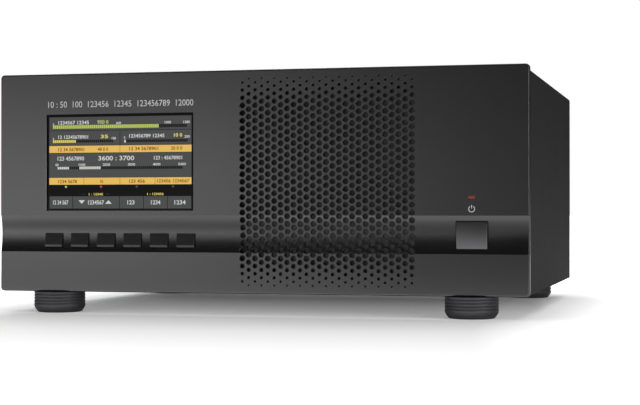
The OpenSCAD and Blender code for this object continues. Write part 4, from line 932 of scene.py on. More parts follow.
class AMPLIFIER_OT_front_panel(Operator):
    """Front plate with its hand groove, openings and honeycomb of perforations"""

    bl_idname = "amplifier.front_panel"
    bl_label = "Front panel"

    def execute(self, context):
        scene = context.scene
        p, g = Millimetres(scene.amplifier_panel), Millimetres(scene.amplifier_grille)
        k, d = Millimetres(scene.amplifier_keys), Millimetres(scene.amplifier_display)
        low, high = node_box("front_panel")
        w, h, t = high.x - low.x, high.z - low.z, high.y - low.y
        grille = scene.amplifier_grille
        field = grow(perforated_field_tree(), {
            "Columns": grille.columns, "Rows": grille.rows, "Pitch": grille.pitch, "Hole": grille.hole,
            "Smallest hole": grille.smallest, "Fade": grille.fade, "Thickness": t / 1000,
            "Chamfer": scene.amplifier_panel.chamfer * 0.6, "Material": material("panel_black")})
        bm = bmesh.new()
        bm.from_mesh(field)
        bm.transform(Matrix.Translation((g.middle, 0, h / 2)) @ Matrix.Scale(1000, 4))
        bmesh.ops.remove_doubles(bm, verts=bm.verts, dist=0.01)
        outline = grown_rect(Vector((0, 0, h / 2)), w, h, p.corner, 6)
        window = grown_rect(node_middle("display_window"), d.width, d.height, 0.4, 3)
        openings = [window]
        openings += [grown_rect(node_middle(f"key_{n}"), k.width, k.height, 0.35, 2) for n in KEYS]
        openings.append(grown_rect(node_middle("power_button"), k.power_width, k.power_height, 0.5, 3))
        openings.append(grown_rect(node_middle("lamp_lens"), 5.1, 1.9, 0.65, 3))
        front = [o(p.chamfer) for o in openings]
        back = [window(p.window_lap)] + [o(0) for o in openings[1:]]
        rims = open_rim(bm, 0), open_rim(bm, t)
        plate_face(bm, 0, outline(-p.edge), [rims[0], *front])
        plate_face(bm, t, outline(-BACK_EDGE), [rims[1], *back])
        steps = 5
        turns = [radians(90 * i / steps) for i in range(steps + 1)]
        edge = [at_depth(outline(-p.edge * (1 - sin(a))), p.edge * (1 - cos(a))) for a in turns]
        edge += [at_depth(outline(0), t - BACK_EDGE), at_depth(outline(-BACK_EDGE), t)]
        loft(bm, edge)
        for hole in openings:
            loops = [at_depth(hole(p.chamfer), 0), at_depth(hole(0), p.chamfer)]
            if hole is window:
                loops += [at_depth(hole(0), d.recess), at_depth(hole(p.window_lap), d.recess),
                          at_depth(hole(p.window_lap), t)]
            else:
                loops.append(at_depth(hole(0), t))
            loft(bm, loops)
        bmesh.ops.remove_doubles(bm, verts=bm.verts, dist=0.002)
        bmesh.ops.recalc_face_normals(bm, faces=bm.faces)
        bottom = p.groove_z - p.groove_h / 2
        levels = [bottom + p.groove_h * i / GROOVE_STEPS for i in range(GROOVE_STEPS + 1)]
        for z in levels:
            near = [f for f in bm.faces if min(v.co.z for v in f.verts) < z < max(v.co.z for v in f.verts)]
            parts = set(near)
            parts.update(e for f in near for e in f.edges)
            parts.update(v for f in near for v in f.verts)
            bmesh.ops.bisect_plane(bm, geom=list(parts), dist=0.0005, plane_co=(0, 0, z),
                                   plane_no=(0, 0, 1))
        for v in bm.verts:
            if v.co.y < t / 2:
                v.co.y += groove_depth(p, v.co.z)
        lips = [(TO_FRAME @ Vector((0, 0, z))).z for z in (levels[0], levels[-1])]
        walls = (TO_FRAME @ Vector((0, t / 2, 0))).y

        def mark_lips(mesh):
            marks = mesh.attributes
            sharp = marks.get("sharp_edge") or marks.new("sharp_edge", "BOOLEAN", "EDGE")
            for e in mesh.edges:
                a, b = (mesh.vertices[i].co for i in e.vertices)
                if a.y < walls and b.y < walls and any(
                        abs(a.z - z) < 2e-6 and abs(b.z - z) < 2e-6 for z in lips):
                    sharp.data[e.index].value = True

        bm.normal_update()
        finish_piece(bm, "front_plate", ["panel_black"], ["front_panel"], tidy=False,
                     sharp=mark_lips, flat=lambda f: abs(f.normal.y) > 0.99999)
        return {"FINISHED"}


# ---- display


def bar_segments_tree():
    """Geometry Nodes: a row of equal upright cells, as on a bar meter."""
    t, given, end = start_shape("bar_segments", [
        ("Count", WHOLE, 10), ("Step", FLOAT, 0.00165), ("Width", FLOAT, 0.0013),
        ("Height", FLOAT, 0.0026)])
    line = t.geo("MeshLine", {"Count": given["Count"], "Offset": t.xyz(given["Step"], 0.0, 0.0)})
    cell = t.geo("MeshGrid", {"Size X": given["Width"], "Size Y": given["Height"],
                              "Vertices X": 2, "Vertices Y": 2})
    cell = t.geo("Transform", {"Geometry": cell, "Rotation": (pi / 2, 0, 0)})
    row = t.geo("InstanceOnPoints", {"Points": line, "Instance": cell})
    return end(t.geo("RealizeInstances", {"Geometry": row}))


def add_mesh(bm, mesh, matrix, index=0):
    """Adds a finished mesh to a piece that is being drawn."""
    first = len(bm.faces)
    mesh.transform(matrix)
    bm.from_mesh(mesh)
    bm.faces.ensure_lookup_table()
    for face in bm.faces[first:]:
        face.material_index = index
    bpy.data.meshes.remove(mesh)


FIGURE_STRETCH, FIGURE_WEIGHT = 1.15, 0.025    # the screen's figures are tall and a little bold


class Picture:
    """Lays lit areas, bars and figures on the window; u runs right and v down from its corner."""

    finishes = ["window_glass", "lit_cells", "lit_amber", "lit_bar", "lit_yellow", "lit_reading",
                "lit_green", "lit_dark", "lit_edge", "lit_red", "lit_print"]
    layer = 0.02

    def __init__(self, bm, corner):
        self.bm, self.corner = bm, corner
        self.segments = bar_segments_tree()

    def index(self, finish):
        return self.finishes.index(finish)

    def place(self, u, v, level):
        return Vector((self.corner.x + u, self.corner.y - level * self.layer, self.corner.z - v))

    def shape(self, corners, finish, level):
        face = self.bm.faces.new([self.bm.verts.new(self.place(u, v, level)) for u, v in corners])
        face.material_index = self.index(finish)

    def area(self, u0, u1, v0, v1, finish, level=1):
        self.shape([(u0, v1), (u1, v1), (u1, v0), (u0, v0)], finish, level)

    def bar(self, u, v0, v1, cells, finish, cell_share):
        if finish != "lit_dark":
            self.area(u, u + (cells - 0.28) * CELL, v0, v1, "lit_print", 2)
        width = CELL * cell_share
        mesh = grow(self.segments, {"Count": cells, "Step": CELL / 1000, "Width": width / 1000,
                                    "Height": (v1 - v0) / 1000, "Material": material(finish)})
        where = self.place(u + width / 2, (v0 + v1) / 2, 3)
        add_mesh(self.bm, mesh, Matrix.Translation(where) @ Matrix.Scale(1000, 4), self.index(finish))

    def figures(self, text, u0, u1, v, height, finish):
        """Numbers between two places of a row, v being the row's middle."""
        height *= FIGURE_STRETCH
        mesh = numerals(text, height, u1 - u0, FIGURE_WEIGHT)
        where = self.place(u0, v + height / 2, 3)
        add_mesh(self.bm, mesh, Matrix.Translation(where), self.index(finish))

    def disc(self, u, v, radius, finish):
        self.shape([(u + radius * cos(a), v - radius * sin(a)) for a in angles(16)], finish, 2)


SCREEN_WIDTH = 118.8
KEY_NAMES = (0, 19.9, 59.2, 79.3, 99.0, SCREEN_WIDTH)    # edges of the cells over the six keys
AMBER_BANDS = ((22.75, 28.2), (48.0, 53.45))
CELL = 1.65                                              # from one cell of a bar to the next

# Each row: left, right, top, bottom and finish, in millimetres on the screen.
UNDER_BARS = ((100, 113, 8.9, 9.15), (43, 51, 20.1, 20.35), (103, 112, 20.1, 20.35),
              (59.55, 59.85, 22.75, 28.2), (29.25, 29.55, 48.0, 53.45), (59.55, 59.85, 48.0, 53.45),
              (88.75, 89.05, 48.0, 53.45))
# Each row: left, cells before the first, top, bottom, number of cells, finish and width of a cell
# as a share of the step.
BARS = ((3.1, 0, 6.4, 9.1, 54, "lit_bar", 0.76), (3.1, 54, 6.5, 9.0, 14, "lit_dark", 0.76),
        (3.1, 0, 18.2, 20.3, 12, "lit_yellow", 0.76), (3.1, 12, 18.1, 20.2, 19, "lit_dark", 0.76),
        (63.3, 0, 18.4, 20.6, 1, "lit_reading", 0.76), (63.3, 1, 18.3, 20.4, 31, "lit_dark", 0.76),
        (7.1, 0, 39.4, 41.3, 6, "lit_reading", 0.8), (7.1, 6.3, 39.2, 41.4, 5, "lit_dark", 0.76),
        (7.1, 11.2, 39.2, 41.3, 11, "lit_reading", 0.8), (7.1, 22.4, 39.2, 41.4, 41, "lit_dark", 0.76))
# The figures by finish. Each row: the numbers, their left and right end, middle and height.
FIGURES = {
    "lit_reading": (
        ("0", 3.0, 4.0, 5.6, 1.7), ("1234567 12345", 6.9, 33.6, 4.3, 2.5),
        ("600", 56.4, 60.6, 5.1, 1.7), ("1000", 96.2, 102.0, 5.0, 1.7),
        ("1200", 111.6, 117.4, 5.0, 1.7), ("0", 3.0, 4.0, 17.1, 1.7),
        ("12 12345678901", 6.9, 32.9, 15.7, 2.4), ("100", 52.3, 56.3, 17.0, 1.7),
        ("0", 63.0, 64.0, 16.6, 1.7), ("123456789 12345", 66.6, 96.6, 15.3, 2.4),
        ("250", 112.9, 117.4, 16.3, 1.7), ("123 4567890", 6.2, 29.6, 32.7, 2.8),
        ("3600 : 3700", 41.2, 71.6, 32.6, 3.1), ("123 : 45678901", 87.2, 111.2, 32.6, 2.5),
        ("12 34 567", 2.6, 16.2, 67.4, 2.9), ("1234567", 32.2, 46.4, 67.4, 2.9),
        ("123", 65.0, 71.8, 67.4, 2.9), ("1234", 84.7, 93.3, 67.4, 2.9),
        ("1234", 103.9, 114.0, 67.4, 2.9)),
    "lit_bar": (("950 0", 40.6, 50.0, 4.1, 2.5),),
    "lit_yellow": (
        ("35", 43.2, 49.8, 15.5, 2.4), ("10 0", 103.6, 111.2, 15.0, 2.4),
        ("1 : 12345", 33.0, 45.4, 61.0, 1.6), ("1 : 123456", 81.8, 95.9, 60.9, 1.6)),
    "lit_print": (
        ("12 34 5678901", 6.9, 29.6, 25.6, 2.4), ("48 0 0", 41.0, 49.8, 25.5, 2.2),
        ("12 34 5678901", 66.6, 91.5, 25.3, 2.4), ("20 0 0", 101.9, 111.2, 25.2, 2.2),
        ("1234 5678", 6.9, 23.5, 50.9, 2.3), ("10", 42.6, 45.6, 50.9, 2.2),
        ("123 456", 66.6, 80.4, 50.8, 2.3), ("123456 1234567", 89.8, 116.9, 50.7, 2.3))}


def draw_picture(p):
    """The operating screen: meters above, readings in the middle, key names below."""
    for u0, u1, v0, v1 in ((0, SCREEN_WIDTH, 0, 10.6), (0, 59.5, 10.95, 22.5),
                           (59.9, SCREEN_WIDTH, 10.95, 22.5), (0, SCREEN_WIDTH, 28.45, 47.75)):
        p.area(u0, u1, v0, v1, "lit_cells")
    for v0, v1 in AMBER_BANDS:
        p.area(0, SCREEN_WIDTH, v0, v1, "lit_amber")
    for edges in UNDER_BARS:
        p.area(*edges, "lit_print", 2)
    for u, before, *row in BARS:
        p.bar(u + before * CELL, *row)
    for finish, rows in FIGURES.items():
        for row in rows:
            p.figures(*row, finish)
    for k in range(6):
        u, number = 7.0 + k * 20.9, str(100 * k)
        p.figures(number, u - 1.0 - 0.9 * len(number), u + 0.9 * len(number), 37.7, 1.7, "lit_reading")
    for u, finish in ((14.2, "lit_green"), (43.8, "lit_red"), (73.7, "lit_cells"), (103.7, "lit_cells")):
        p.disc(u, 55.1, 0.95, finish)
    for u0, u1 in ((27.4, 30.6), (47.8, 50.8)):
        p.area(u0, u1, 60.9, 61.1, "lit_cells", 2)
    for u0, u1 in zip(KEY_NAMES, KEY_NAMES[1:]):
        p.area(u0 + 0.15, u1 - 0.15, 62.6, 72.4, "lit_edge")
        p.area(u0 + 0.25, u1 - 0.25, 62.7, 72.3, "lit_cells", 2)
    for u, tip in ((27.6, 1), (50.1, -1)):
        base = 67.2 - tip * 1.4
        corners = [(u - 2.7, base), (u, base + tip * 2.8), (u + 2.7, base)]
        p.shape(corners if tip > 0 else corners[::-1], "lit_reading", 3)


class AMPLIFIER_OT_display(Operator):
    """Display window with its lit picture: meters, readings and key names as plain numbers"""

    bl_idname = "amplifier.display"
    bl_label = "Display"

    def execute(self, context):
        low, high, middle = node_place("display_window")
        bm = bmesh.new()
        slab(bm, grown_rect(middle, high.x - low.x, high.z - low.z, 0.8, 3), low.y, high.y, 0.1)
        bmesh.ops.recalc_face_normals(bm, faces=bm.faces)
        draw_picture(Picture(bm, Vector((-169.7, low.y, 138.0))))
        finish_piece(bm, "display_picture", Picture.finishes, ["display_window"], tidy=False,
                     flat=lambda f: True)
        return {"FINISHED"}


# ---- keys and button


FLANGE_Y = 6.3    # front of the collars, just behind the panel
CAP_BACK = 6.6    # back of the caps, inside their collars


def add_flange_and_stem(bm, node, stem_radius):
    """The collar that keeps a key in its opening, and the stem that reaches its switch."""
    low, high, middle = node_place(node)
    slab(bm, grown_rect(middle, high.x - low.x, high.z - low.z, 1.0, 3), FLANGE_Y, FLANGE_Y + 1, 0.15)
    lathe(bm, [(stem_radius, 0), (stem_radius, high.y - FLANGE_Y - 1.3),
               (stem_radius - 0.3, high.y - FLANGE_Y - 1)], (middle.x, FLANGE_Y + 1, middle.z), sides=32)


def add_cap(bm, profile, x, width, edge):
    """A cap drawn as its side view and run across its width, with rounded front edges."""
    loops = [[Vector((x + s * width / 2, y, z)) for y, z in profile] for s in (-1, 1)]
    loft(bm, loops, True, True)
    bmesh.ops.recalc_face_normals(bm, faces=bm.faces)
    last = max(y for y, z in profile)
    soften(bm, lambda e: (all(v.co.y < last - 1 for v in e.verts) or abs(
        e.verts[0].co.y - e.verts[1].co.y) > last - 3) and e.calc_face_angle(0) > 0.25, edge)


class AMPLIFIER_OT_keys(Operator):
    """Six sloping keys under the display"""

    bl_idname = "amplifier.keys"
    bl_label = "Keys"

    def execute(self, context):
        k = Millimetres(context.scene.amplifier_keys)
        h = k.height / 2 - k.gap
        side = [(CAP_BACK, -h), (0, -h), (-k.proud, -h + 1.2), (-k.proud, -h + 2),
                (k.slope - k.proud, h), (CAP_BACK, h)]
        for n in KEYS:
            middle = node_middle(f"key_{n}")
            bm = bmesh.new()
            add_cap(bm, [(y, middle.z + z) for y, z in side], middle.x, k.width - 2 * k.gap, k.bevel)
            add_flange_and_stem(bm, f"key_{n}", 1.7)
            finish_piece(bm, f"key_cap_{n}", ["key_black"], [f"key_{n}"], f"key_{n}", flat=wide(3))
        return {"FINISHED"}


class AMPLIFIER_OT_power_button(Operator):
    """Barrel-faced power button and the lens of its lamp"""

    bl_idname = "amplifier.power_button"
    bl_label = "Power button and lamp"

    def execute(self, context):
        k = Millimetres(context.scene.amplifier_keys)
        low, high, middle = node_place("power_button")
        w, h = k.power_width - 2 * k.gap, k.power_height - 2 * k.gap
        bulge = k.power_bulge
        radius = ((h / 2) ** 2 + bulge ** 2) / (2 * bulge)
        steps = 24
        profile = [(CAP_BACK, middle.z - h / 2)]
        for i in range(steps + 1):
            z = h * (i / steps - 0.5)
            profile.append((low.y + radius - sqrt(radius ** 2 - z ** 2), middle.z + z))
        profile.append((CAP_BACK, middle.z + h / 2))
        bm = bmesh.new()
        add_cap(bm, profile, middle.x, w, 0.5)
        add_flange_and_stem(bm, "power_button", 3)
        finish_piece(bm, "power_cap", ["button_grey"], ["power_button"], "power_button", flat=wide(60))
        low, high, middle = node_place("lamp_lens")
        lens = grown_rect(middle, 5, 1.8, 0.6, 4)
        bm = bmesh.new()
        loft(bm, [at_depth(lens(by), y) for by, y in (
            (-0.4, 0.1), (-0.2, 0.16), (0, 0.4), (0, high.y))], True, True)
        add_box(bm, (low.x, 6, low.z), (high.x, 7, high.z))
        finish_piece(bm, "lamp_pipe", ["lamp_red"], ["lamp_lens"], flat=wide(6))
        return {"FINISHED"}


# ---- panel printing


def print_ring(bm, centre, inner, outer, start, sweep, steps, mirror=1, index=0):
    """A flat ring, or a part of one, that looks out of the front, or out of the back if mirrored."""
    for i in range(steps):
        a, b = (radians(start + sweep * j / steps) for j in (i, i + 1))
        corners = [(inner, a), (outer, a), (outer, b), (inner, b)]
        bm.faces.new([bm.verts.new(centre + Vector((mirror * r * cos(t), 0, r * sin(t))))
                      for r, t in corners]).material_index = index


def print_bar(bm, centre, half, low, high, mirror=1, index=0):
    """A flat upright bar, to go with a ring."""
    corners = [(-half, low), (half, low), (half, high), (-half, high)]
    bm.faces.new([bm.verts.new(centre + Vector((mirror * x, 0, z)))
                  for x, z in corners]).material_index = index


class AMPLIFIER_OT_print(Operator):
    """Plain numbers over the display and the power sign over the power button"""

    bl_idname = "amplifier.print"
    bl_label = "Panel print"

    def execute(self, context):
        proud = 0.03
        bm = bmesh.new()
        add_mesh(bm, numerals("10 : 50  100  123456  12345  123456789  12000", 5.0, 122.4),
                 Matrix.Translation((-171.3, -proud, 145.6)))
        centre = Vector((node_middle("power_button").x, -proud, 65.2))
        print_ring(bm, centre, 1.95, 2.5, 122, 296, 30)
        print_bar(bm, centre, 0.28, 0.3, 2.9)
        finish_piece(bm, "panel_print", ["panel_print"], slot="panel_black", tidy=False,
                     flat=lambda f: True)
        return {"FINISHED"}


# ---- case and feet


class AMPLIFIER_OT_feet(Operator):
    """Four round rubber feet with ribbed walls"""

    bl_idname = "amplifier.feet"
    bl_label = "Feet"

    def execute(self, context):
        foot = Millimetres(context.scene.amplifier_feet)
        r, ribs = foot.radius, context.scene.amplifier_feet.ribs
        bore, neck, recess = 2.55, 7.0, 6.0
        for name in ("front_left", "front_right", "rear_left", "rear_right"):
            low, high, middle = node_place(f"foot_{name}")
            h = -0.3 - low.z
            profile = [(bore, high.z), (neck - 0.2, high.z), (neck, high.z - 0.15), (neck, -0.3),
                       (r - 0.6, -0.3), (r - 0.35, -0.38), (r - 0.25, -0.6)]
            step = 0.15 * h
            for k in reversed(range(ribs)):
                z = low.z + 0.4 * h + k * step
                profile += [(r - 0.12, z + step * 0.98), (r, z + step * 0.88), (r, z + step * 0.72)]
                for i in range(9):
                    depth = foot.rib * (1 - cos(2 * pi * i / 8)) / 2
                    profile.append((r - depth, z + step * 0.6 * (1 - i / 8)))
            for i in range(7):
                a = i / 6
                profile.append((r - foot.taper * a ** 1.6 * 0.98, low.z + h * (0.33 - 0.28 * a)))
            profile += [(r - foot.taper - 0.25, low.z + 0.35), (r - foot.taper - 1, low.z),
                        (recess + 0.3, low.z), (recess, low.z + 0.3), (recess, low.z + 6),
                        (bore, low.z + 6)]
            bm = bmesh.new()
            lathe(bm, profile, (middle.x, middle.y, 0), context.scene.amplifier_feet.sides, "z", True)
            finish_piece(bm, f"ribbed_foot_{name}", ["foot_rubber"], [f"foot_{name}"], angle=50)
        return {"FINISHED"}


class AMPLIFIER_OT_cover(Operator):
    """Folded sheet cover, with bent corners and softened cut edges"""

    bl_idname = "amplifier.cover"
    bl_label = "Cover"

    def execute(self, context):
        case = Millimetres(context.scene.amplifier_case)
        low, high = node_box("top_cover")
        hem, sheet = case.hem, case.sheet

        def section(inset, y):
            r = max(case.bend - inset, 0.4)
            x, z = high.x - inset, high.z - inset
            half = [Vector((x, y, low.z))]
            for i in range(9):
                a = radians(90 * i / 8)
                half.append(Vector((x - r + r * cos(a), y, z - r + r * sin(a))))
            return half + [Vector((-p.x, y, p.z)) for p in reversed(half)]

        front, back = low.y, high.y
        loops = [section(*at) for at in (
            (0, front + hem), (hem * 0.3, front + hem * 0.3), (hem, front), (sheet - hem, front),
            (sheet, front + hem), (sheet, back - hem), (sheet - hem, back), (hem, back),
            (hem * 0.3, back - hem * 0.3), (0, back - hem), (0, front + hem))]
        bm = bmesh.new()
        loft(bm, loops, closed=False)
        bmesh.ops.remove_doubles(bm, verts=bm.verts, dist=0.0005)
        bmesh.ops.holes_fill(bm, edges=[e for e in bm.edges if e.is_boundary], sides=0)
        finish_piece(bm, "folded_cover", ["cover_black"], ["top_cover"], flat=wide(3000))
        return {"FINISHED"}


# ---- rear fittings


def threaded_sleeve_tree():
    """Geometry Nodes: a screw thread round the Y axis, running out at both ends."""
    t, given, end = start_shape("threaded_sleeve", [
        ("Radius", FLOAT, 3.0), ("Depth", FLOAT, 0.5), ("Pitch", FLOAT, 1.0), ("Length", FLOAT, 20.0),
        ("Turns", WHOLE, 22), ("Sides", WHOLE, 36)])
    m = t.maths
    plus, minus, times, over = t.plus, t.minus, t.times, t.over
    strip = t.geo("MeshGrid", {
        "Size X": 1.0, "Size Y": 1.0, "Vertices Y": 6,
        "Vertices X": plus(times(given["Turns"], given["Sides"]), 1)})
    spot = t.geo("InputPosition")
    u = plus(t.part(spot, 0), 0.5)
    v = plus(t.part(spot, 1), 0.5)
    turned = times(u, given["Turns"])
    along = times(minus(plus(turned, v), 1.0), given["Pitch"])
    along = m("MAXIMUM", m("MINIMUM", along, given["Length"]), 0.0)
    ridge = minus(1.0, times(m("ABSOLUTE", minus(v, 0.5)), 2.0))
    ridge = m("MINIMUM", m("MAXIMUM", minus(times(ridge, 1.3), 0.1), 0.0), 1.0)
    from_end = m("MINIMUM", along, minus(given["Length"], along))
    fade = m("MINIMUM", over(from_end, given["Pitch"]), 1.0)
    root = minus(given["Radius"], given["Depth"])
    reach = plus(root, times(times(ridge, given["Depth"]), fade))
    angle = times(turned, 2 * pi)
    place = t.xyz(times(reach, m("COSINE", angle)), along, times(reach, m("SINE", angle)))
    sleeve = t.geo("SetPosition", {"Geometry": strip, "Position": place})
    return end(t.geo("MergeByDistance", {"Geometry": sleeve, "Distance": 0.002}))


def copies_tree():
    """Geometry Nodes: a copy of a part on each point, turned by a step and by chance."""
    t, given, end = start_shape("copies_on_points", [
        ("Points", GEOMETRY, None), ("Part", OBJECT, None), ("Step", FLOAT, 0.0), ("Chance", FLOAT, 0.0),
        ("Seed", WHOLE, 7)])
    part = t.geo("ObjectInfo", {"Object": given["Part"]}, out="Geometry")
    lot = t.node("FunctionNodeRandomValue", {2: 0.0, 3: given["Chance"], "Seed": given["Seed"]}, out=1,
                 data_type="FLOAT")
    order = t.geo("InputIndex")
    angle = t.plus(lot, t.times(order, given["Step"]))
    copies = t.geo("InstanceOnPoints", {"Points": given["Points"], "Instance": part,
                                        "Rotation": t.xyz(0.0, 0.0, angle)})
    return end(t.geo("RealizeInstances", {"Geometry": copies}))


def guard_rings_tree():
    """Geometry Nodes: round wires of growing radius about the Z axis."""
    t, given, end = start_shape("guard_rings", [
        ("Count", WHOLE, 4), ("First radius", FLOAT, 14.0), ("Last radius", FLOAT, 55.0),
        ("Wire", FLOAT, 1.1)])
    plus, minus, times, over = t.plus, t.minus, t.times, t.over
    steps = minus(given["Count"], 1)
    step = over(minus(given["Last radius"], given["First radius"]), steps)
    radius = plus(given["First radius"], times(t.geo("InputIndex"), step))
    line = t.geo("MeshLine", {"Count": given["Count"], "Offset": (0, 0, 0)})
    circle = t.geo("CurvePrimitiveCircle", {"Resolution": 96, "Radius": 1.0})
    rings = t.geo("InstanceOnPoints", {"Points": line, "Instance": circle,
                                       "Scale": t.xyz(radius, radius, 1.0)})
    rings = t.geo("RealizeInstances", {"Geometry": rings})
    wire = t.geo("CurvePrimitiveCircle", {"Resolution": 10, "Radius": given["Wire"]})
    return end(t.geo("CurveToMesh", {"Curve": rings, "Profile Curve": wire}))


# Turns a part drawn along Z so that it points along Y, out of the rear panel.
OUT_OF_REAR = Matrix(((1, 0, 0, 0), (0, 0, 1, 0), (0, -1, 0, 0), (0, 0, 0, 1)))
TURN = 6.28    # the most that a screw's recess is turned by chance


def thread(bm, radius, depth, pitch, length, sides, centre, finish):
    """Adds a threaded sleeve that starts at a centre and runs along Y."""
    turns = ceil(length / pitch) + 1
    mesh = grow(threaded_sleeve_tree(), {
        "Radius": float(radius), "Depth": float(depth), "Pitch": float(pitch), "Length": float(length),
        "Turns": turns, "Sides": sides, "Material": material(finish)})
    add_mesh(bm, mesh, Matrix.Translation(centre))


def copies(bm, draw, points, finish, turn=Matrix(), step=0.0, chance=0.0, index=0):
    """Draws a part once and sets a copy of it on each point."""
    pattern = bmesh.new()
    draw(pattern)
    bmesh.ops.recalc_face_normals(pattern, faces=pattern.faces)
    shape = bpy.data.meshes.new("part")
    pattern.to_mesh(shape)
    pattern.free()
    part = bpy.data.objects.new("part", shape)
    bpy.context.scene.collection.objects.link(part)
    seed = bpy.data.meshes.new("points")
    seed.from_pydata([turn.inverted() @ Vector(p) for p in points], [], [])
    mesh = grow(copies_tree(), {"Part": part, "Step": step, "Chance": chance,
                                "Material": material(finish)}, seed)
    bpy.data.objects.remove(part)
    add_mesh(bm, mesh, turn, index)


def ring(radius, z, sides=24, corners=0):
    """A circle at a height, or a polygon's outline sampled at the circle's angles."""
    points = []
    for a in angles(sides):
        r = radius
        if corners:
            part = 2 * pi / corners
            r = radius / cos(a % part - part / 2)
        points.append(Vector((r * cos(a), r * sin(a), z)))
    return points


def socket_screw(radius, height, socket, depth, shank, shank_length):
    """A round-headed screw with a hexagonal socket, drawn upwards from its seat."""
    def draw(bm):
        loft(bm, [ring(shank, -shank_length), ring(shank, 0), ring(radius - 0.15, 0), ring(radius, 0.15),
                  ring(radius, height * 0.45), ring(radius * 0.94, height * 0.72),
                  ring(radius * 0.8, height * 0.93), ring(radius * 0.66, height),
                  ring(socket, height, corners=6), ring(socket, height - depth, corners=6)], True, True)
    return draw


def cross_screw(radius, height, shank, shank_length):
    """A low-domed screw with a cross recess."""
    def cross(z, k):
        points = []
        for i, a in enumerate(angles(24)):
            reach = k * radius * (0.62 if i % 6 == 0 else 0.2)
            points.append(Vector((reach * cos(a), reach * sin(a), z)))
        return points

    def draw(bm):
        loft(bm, [ring(shank, -shank_length), ring(shank, 0), ring(radius - 0.12, 0), ring(radius, 0.12),
                  ring(radius, height * 0.4), ring(radius * 0.92, height * 0.7),
                  ring(radius * 0.74, height), cross(height, 1), cross(height * 0.35, 0.7)], True, True)
    return draw


class AMPLIFIER_OT_screws(Operator):
    """Screws of the cover and of the fans"""

    bl_idname = "amplifier.screws"
    bl_label = "Screws"

    def execute(self, context):
        head = 2.9    # radius of the cover screws' heads
        low, high = node_box("cover_screws")
        top = node_box("top_cover")[1].z
        places = [(x, y, top) for x in (head - high.x, high.x - head)
                  for y in (low.y + head, (low.y + high.y) / 2, high.y - head)]
        bm = bmesh.new()
        copies(bm, socket_screw(head, high.z - top, 1.25, 1.0, 1.5, 7), places, "black_screws", chance=TURN)
        finish_piece(bm, "cover_screw_heads", ["black_screws"], ["cover_screws"])

        head = 3.6    # radius of the fan screws' heads
        low, high = node_box("fan_screws")
        corners = [(x, z) for x in (low.x + head, high.x - head) for z in (low.z + head, high.z - head)]
        bm = bmesh.new()
        copies(bm, cross_screw(head, 2.2, 2, 26.4), [(x, high.y - 2.2, z) for x, z in corners],
               "zinc_steel", OUT_OF_REAR, chance=TURN)
        copies(bm, cross_screw(head, 2.0, 2, 26.5), [(x, low.y + 2, z) for x, z in corners],
               "zinc_steel", OUT_OF_REAR @ Matrix.Rotation(pi, 4, "X"), chance=TURN)
        finish_piece(bm, "fan_screw_heads", ["zinc_steel"], ["fan_screws"])
        return {"FINISHED"}


class AMPLIFIER_OT_fan_guard(Operator):
    """Wire guard outside the rear fan: rings on two crossed wires with eyelets"""

    bl_idname = "amplifier.fan_guard"
    bl_label = "Fan guard"

    def execute(self, context):
        wire = Millimetres(context.scene.amplifier_rear).guard_wire
        low, high, middle = node_place("fan_guard")
        bm = bmesh.new()
        rings = grow(guard_rings_tree(), {"Count": 4, "First radius": 14.0, "Last radius": 55.0,
                                          "Wire": wire, "Material": material("zinc_steel")})
        centre = Vector((middle.x, low.y + 2.4 * wire, middle.z))
        add_mesh(bm, rings, Matrix.Translation(centre) @ OUT_OF_REAR)
        hole, eye = 2.2, 5.4    # inner and outer radius of the eyelets
        eyelet = (high.x - low.x) / 2 - eye
        for x in (-1, 1):
            for z in (-1, 1):
                lathe(bm, [(hole, 0.2), (hole + 0.2, 0), (eye - 0.3, 0), (eye, 0.4), (eye, 2 * wire - 0.4),
                           (eye - 0.3, 2 * wire), (hole + 0.2, 2 * wire), (hole, 2 * wire - 0.2)],
                      (middle.x + x * eyelet, low.y, middle.z + z * eyelet), sides=32, closed=True)
        length = eyelet * sqrt(2) - 4.4
        spine = Vector((middle.x, low.y + wire, middle.z))
        for angle in (45, 135):
            along = Vector((cos(radians(angle)), 0, sin(radians(angle))))
            across = Vector((-along.z, 0, along.x))
            loops = [[spine + along * end + across * (1.15 * wire * cos(a))
                      + Vector((0, wire * sin(a), 0))
                      for a in (radians(30 * k) for k in range(12))] for end in (-length, length)]
            loft(bm, loops, True, True)
        finish_piece(bm, "wire_guard", ["zinc_steel"], ["fan_guard"], angle=50)
        return {"FINISHED"}


